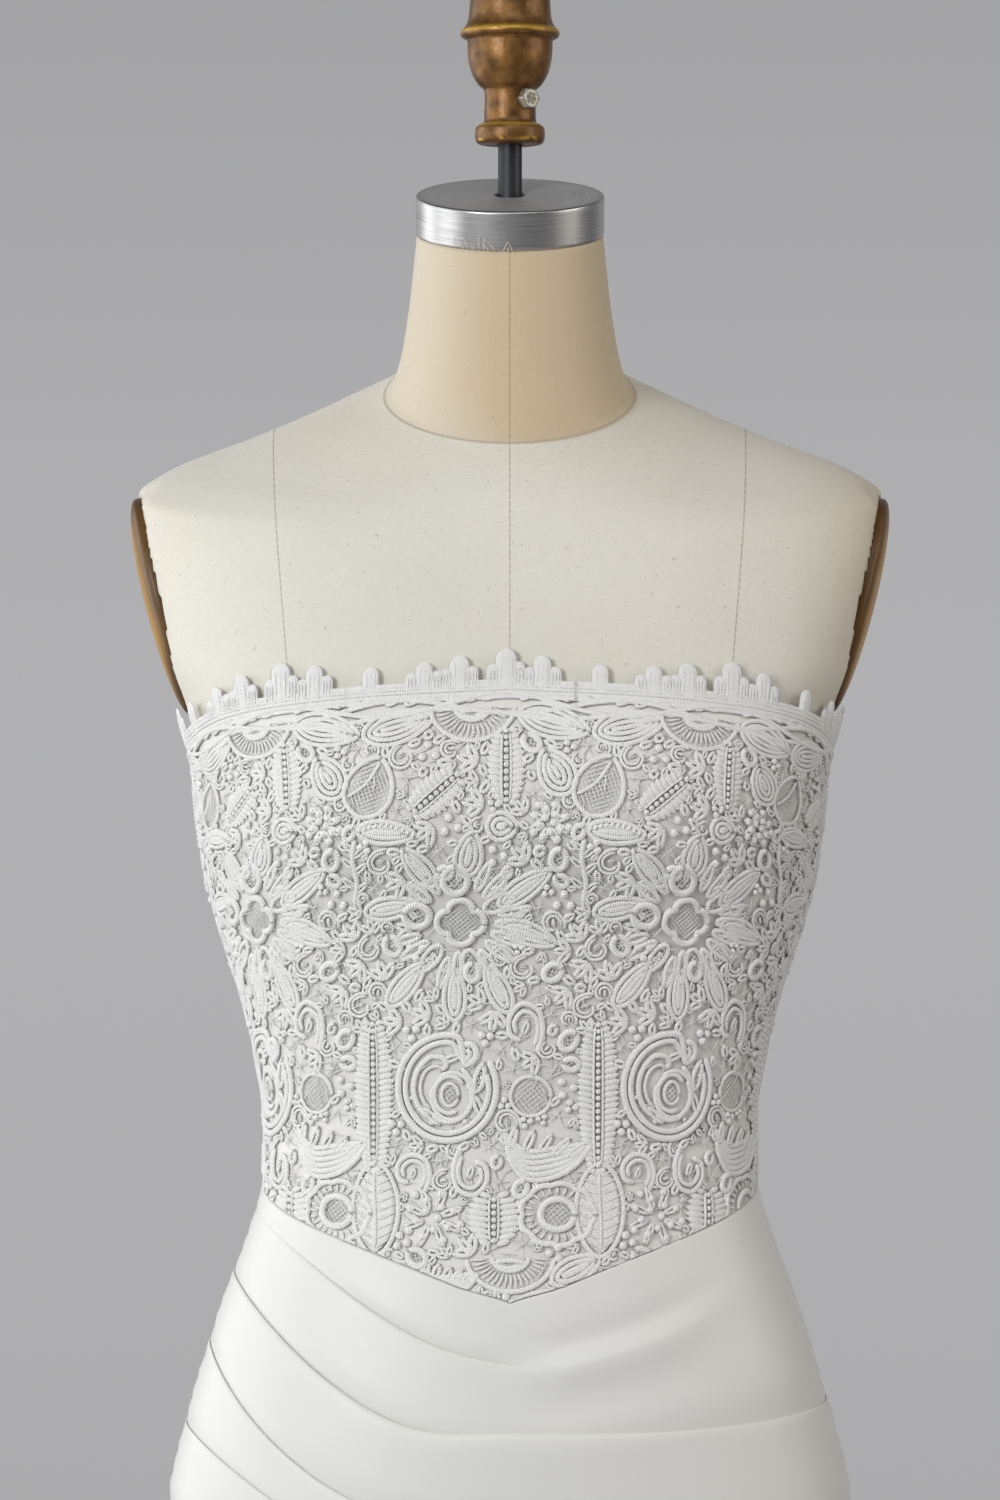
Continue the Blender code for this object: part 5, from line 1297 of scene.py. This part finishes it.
def soft_shape(angle, height):
    """How far the cloth swells out from its plain form, in millimetres: the swell that ends the first fold,
    the creases below the folds, and small puckers beside the side seams."""
    t = (angle + math.pi / 2) / math.pi
    knots = np.array(SWELL)
    line = eased(knots[:, 0], knots[:, 1], t)
    shown = smoothstep((t - 0.46) / 0.14) * (1 - smoothstep((t - 0.72) / 0.14))
    away = shown * (2.7 * hill(height - line + 0.0050, 0.0075) - 1.8 * hill(height - line - 0.0080, 0.0065))
    away = away - shown * 1.3 * hill(height - line + 0.0240, 0.0120)
    for crease in CREASES:
        across = (angle - math.radians(crease.angle)) * 0.15
        fades = smoothstep((crease.top - height) / 0.12)
        slant = 0.06 * (height - crease.top) * np.sign(crease.depth)
        away = away + crease.depth * fades * hill(across + slant, crease.half_width)
    beside = hill((from_front(angle) - math.pi / 2) * 0.15, 0.012)
    puckers = np.sin(height * 520 + 1.3 * np.sin(height * 170))
    return away + beside * 0.35 * puckers * smoothstep((1.02 - height) / 0.02)


def draped(angles, top, lines, strengths, hem):
    """Rows of height and distance down a folded panel: a top edge tucked behind the bodice, strips that swell
    and then sink behind the next turned edge, and a turned-in hem."""
    columns = len(angles)
    heights = [top + up / 1000 for up in (2.0, 0.35, -0.25, -0.7, -1.5)]
    away = [np.full(columns, a) for a in (0.5, 0.75, 2.3, 2.75, 2.8)]
    tucked = len(away)
    swells = np.minimum(np.maximum.accumulate(np.array(strengths)[::-1])[::-1], 1)
    for line, power, swell in zip(lines, strengths, swells):
        lead, first = heights[-1], away[-1]
        sink = line + (power * TURNED_EDGE[0][0] - (1 - power) * 0.25) / 1000
        full = FLAT_AWAY + STRIP_SWELL * swell
        folded = np.minimum(power, 1)
        deep = full + folded * (FLAT_AWAY + power * (TURNED_EDGE[0][1] - FLAT_AWAY) - full)
        for v in 1 - (1 - np.linspace(0, 1, STRIP_ROWS + 1)[1:-1]) ** 1.6:
            heights.append(lead + (sink - lead) * v)
            sinking = (deep - full) * smoothstep((v - 0.62) / 0.38)
            away.append(first + (full - first) * (1 - (1 - v) ** 1.6) + sinking)
        for i, (up, out) in enumerate(TURNED_EDGE):
            heights.append(line + (power * up - (1 - power) * 0.25 * (i + 1)) / 1000)
            away.append(full + folded * (FLAT_AWAY + power * (out - FLAT_AWAY) - full))
    lead, first = heights[-1], away[-1]
    for v in np.linspace(0, 1, HANGING_ROWS + 1)[1:]:
        heights.append(lead + (hem - lead) * v)
        away.append(first + (FLAT_AWAY - first) * (1 - (1 - v) ** 9.0))
    heights, away = np.array(heights), np.array(away)
    away[tucked:] += soft_shape(angles[None, :], heights[tucked:])
    turned_in = np.array([0.0, 0.0004, 0.012, 0.024])[:, None]
    inside = np.array([-0.35, -0.9, -0.9, -0.9])[:, None]
    heights = np.concatenate([heights, hem + turned_in])
    away = np.concatenate([away, away[-1:] + inside])
    return heights, away / 1000


satin = finish_named(
    "skirt_satin",
    {"Specular IOR Level": 0.40, "Sheen Weight": 0.20, "Sheen Roughness": 0.4},
    Base_Color=lambda w, p, uv: w.noise(p, 8.0, 2.0).mixed((0.775, 0.775, 0.745), (0.805, 0.805, 0.78)),
    Roughness=lambda w, p, uv: 0.40 + 0.08 * w.noise(p, 30.0),
    Normal=lambda w, p, uv: w.bump(
        w.noise(p, 2600.0, 1.0, (1, 1, 0.4)) * 0.00003 + w.noise(p, 55.0, 3.0) * 0.0006, 1.0, 0.35
    ),
)
SKIRT_PANELS = (("skirt_front", 0, 181), ("skirt_back_right", 1, 100), ("skirt_back_left", -1, 100))
for name, side, columns in SKIRT_PANELS:
    seam = math.pi / 2 - 0.0004
    ends = {0: (-seam, seam), 1: (math.pi - seam, math.pi), -1: (math.pi, math.pi + seam)}[side]
    angles = between(ends, columns)
    t = (angles + math.pi / 2) / math.pi
    if side == 0:
        lines = [fold_line(fold, t) for fold in FOLDS]
        caught = (0.70 + 0.30 * smoothstep(t / 0.08)) * (0.55 + 0.45 * smoothstep((1 - t) / 0.10))
        fades = [(1 - smoothstep((t - fold.reach + 0.25) / 0.25)) * caught for fold in FOLDS]
        opened = [fold.strength + fold.gape * hill(t - 0.52, 0.22) for fold in FOLDS]
        strengths = [strength * fade for strength, fade in zip(opened, fades)]
    elif side < 0:
        from_seam = (1.5 * math.pi - angles) / (math.pi / 2)
        lines = [fold.left_seam - 0.055 * smoothstep(from_seam / 0.6) for fold in FOLDS]
        strengths = [fold.strength * 0.7 * (1 - smoothstep(from_seam / 0.42)) for fold in FOLDS]
    else:
        from_seam = (angles - math.pi / 2) / (math.pi / 2)
        lines = [FOLDS[k].right_seam - 0.02 * smoothstep(from_seam / 0.6) for k in (1, 3, 5)]
        strengths = [0.55 * (1 - smoothstep(from_seam / 0.30)) for _ in lines]
    top = waistline(angles) - GAP / 2
    heights, away = draped(angles, top, lines, strengths, np.full(columns, HEM))
    grid = np.repeat(angles[None, :], len(heights), axis=0)
    if side:
        half_gap = GAP / 2 + (ZIP_HALF_WIDTH + GAP / 2) * smoothstep((heights - ZIP_END) / 0.004)
        reach = np.linalg.norm(torso(np.full_like(heights, math.pi), heights)[..., :2], axis=-1)
        edge = math.pi - side * half_gap / reach
        grid = np.minimum(grid, edge) if side > 0 else np.maximum(grid, edge)
    if side == 0:
        to_seam = np.minimum(np.abs(grid - ends[0]), np.abs(grid - ends[1]))
    else:
        to_seam = np.abs(grid - math.pi + side * seam)
    away = 0.0004 + (away - 0.0004) * (0.45 + 0.55 * smoothstep(to_seam * 0.16 / 0.0022) ** 0.6)
    points = cloth(grid, heights, away)
    uv = np.stack(np.broadcast_arrays(grid * 0.15, heights), -1)
    piece = grid_surface(name + "_satin", points, uv, satin)
    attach(piece, BODY)
    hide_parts(name)

# The zip: a closed coil down the centre back, from the bodice's top edge to the hips. Its slider and pull tab
# are the model's own solids, in white enamel.
coil_white = finish_named(
    "zip_tape",
    {"Base Color": (0.80, 0.80, 0.79), "Specular IOR Level": 0.4},
    Roughness=lambda w, p, uv: 0.40 + 0.2 * w.noise(p, 500.0),
)
ZIP_TOP, ZIP_INNER, ZIP_OUTER, TEETH_PITCH = 1.2235, 0.0010, 0.0026, 0.0012
heights = np.linspace(ZIP_TOP, ZIP_END + 0.0005, 60)[:, None]
reach = np.linalg.norm(torso(np.full_like(heights, math.pi), heights)[..., :2], axis=-1)
tape_size = (ZIP_HALF_WIDTH - GAP / 2, ZIP_OUTER - ZIP_INNER)
outline = np.array([(-1, 0.0), (-1, 0.6), (0, 0.75), (1, 0.6), (1, 0.0)]) * tape_size
tape_points = cloth(math.pi + outline[None, :, 0] / reach, heights, ZIP_INNER + outline[None, :, 1])
pieces = [(tape_points.reshape(-1, 3), grid_quads(60, 5))]
tooth = np.array([
    (-1, -1, 0), (1, -1, 0), (1, 1, 0), (-1, 1, 0),
    (-0.7, -0.6, 1), (0.7, -0.6, 1), (0.7, 0.6, 1), (-0.7, 0.6, 1),
])
tooth_quads = np.array([(4, 5, 6, 7), (0, 1, 5, 4), (1, 2, 6, 5), (2, 3, 7, 6), (3, 0, 4, 7)])
for k, level in enumerate(np.arange(ZIP_END + 0.002, ZIP_TOP - 0.001, TEETH_PITCH)):
    across = (0.00035 if k % 2 else -0.00035) + tooth[:, 0] * 0.00075
    up = level + tooth[:, 1] * 0.00040
    turn = math.pi + across / float(np.interp(level, heights[::-1, 0], reach[::-1, 0]))
    pieces.append((cloth(turn, up, 0.0021 + tooth[:, 2] * 0.0005), tooth_quads))
points, quads = joined(pieces)
coil = surface("zip_coil", points, quads, points[:, [0, 2]], coil_white)
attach(coil, BODY)
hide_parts("zip_chain")
enamel = finish_named(
    "zip_enamel",
    {"Base Color": (0.82, 0.82, 0.80), "Coat Weight": 0.4},
    Roughness=lambda w, p, uv: 0.28 + 0.12 * w.noise(p, 400.0),
)


def finish_node(name, finish):
    """Gives one of the model's own solids its finish."""
    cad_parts[name].data.materials.clear()
    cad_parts[name].data.materials.append(finish)


finish_node("zip_slider", enamel)
finish_node("zip_pull", enamel)

# The stand: a birch ply board under the torso, a flanged steel collar, a blacked pole and a round cast-iron
# base. They keep the model's own solids.


def ply_colour(w, p, uv):
    """Grain one way, and thin glued layers."""
    grain = w.noise(p, 18.0, 4.0, (1, 8, 1)) * 0.7 + 0.3 * axis_of(p, 2).wave(0.0025)
    return grain.mixed((0.30, 0.18, 0.09), (0.52, 0.36, 0.20))


ply = finish_named(
    "board_wood",
    {"Specular IOR Level": 0.3},
    Base_Color=ply_colour,
    Roughness=lambda w, p, uv: 0.50 + 0.15 * w.noise(p, 60.0),
)
stand_black = finish_named(
    "stand_black",
    {"Metallic": 0.6, "Base Color": (0.025, 0.025, 0.028)},
    Roughness=lambda w, p, uv: 0.32 + 0.2 * w.noise(p, 150.0, 3.0),
)
cast_iron = finish_named(
    "base_iron",
    {"Metallic": 0.5, "Base Color": (0.028, 0.028, 0.030)},
    Roughness=lambda w, p, uv: 0.45 + 0.2 * w.noise(p, 80.0, 3.0),
    Normal=lambda w, p, uv: w.bump(w.noise(p, 500.0, 3.0), 0.0005, 0.5),
)
finish_node("form_board", ply)
finish_node("stand_collar", stand_black)
finish_node("stand_pole", stand_black)
finish_node("stand_base", cast_iron)
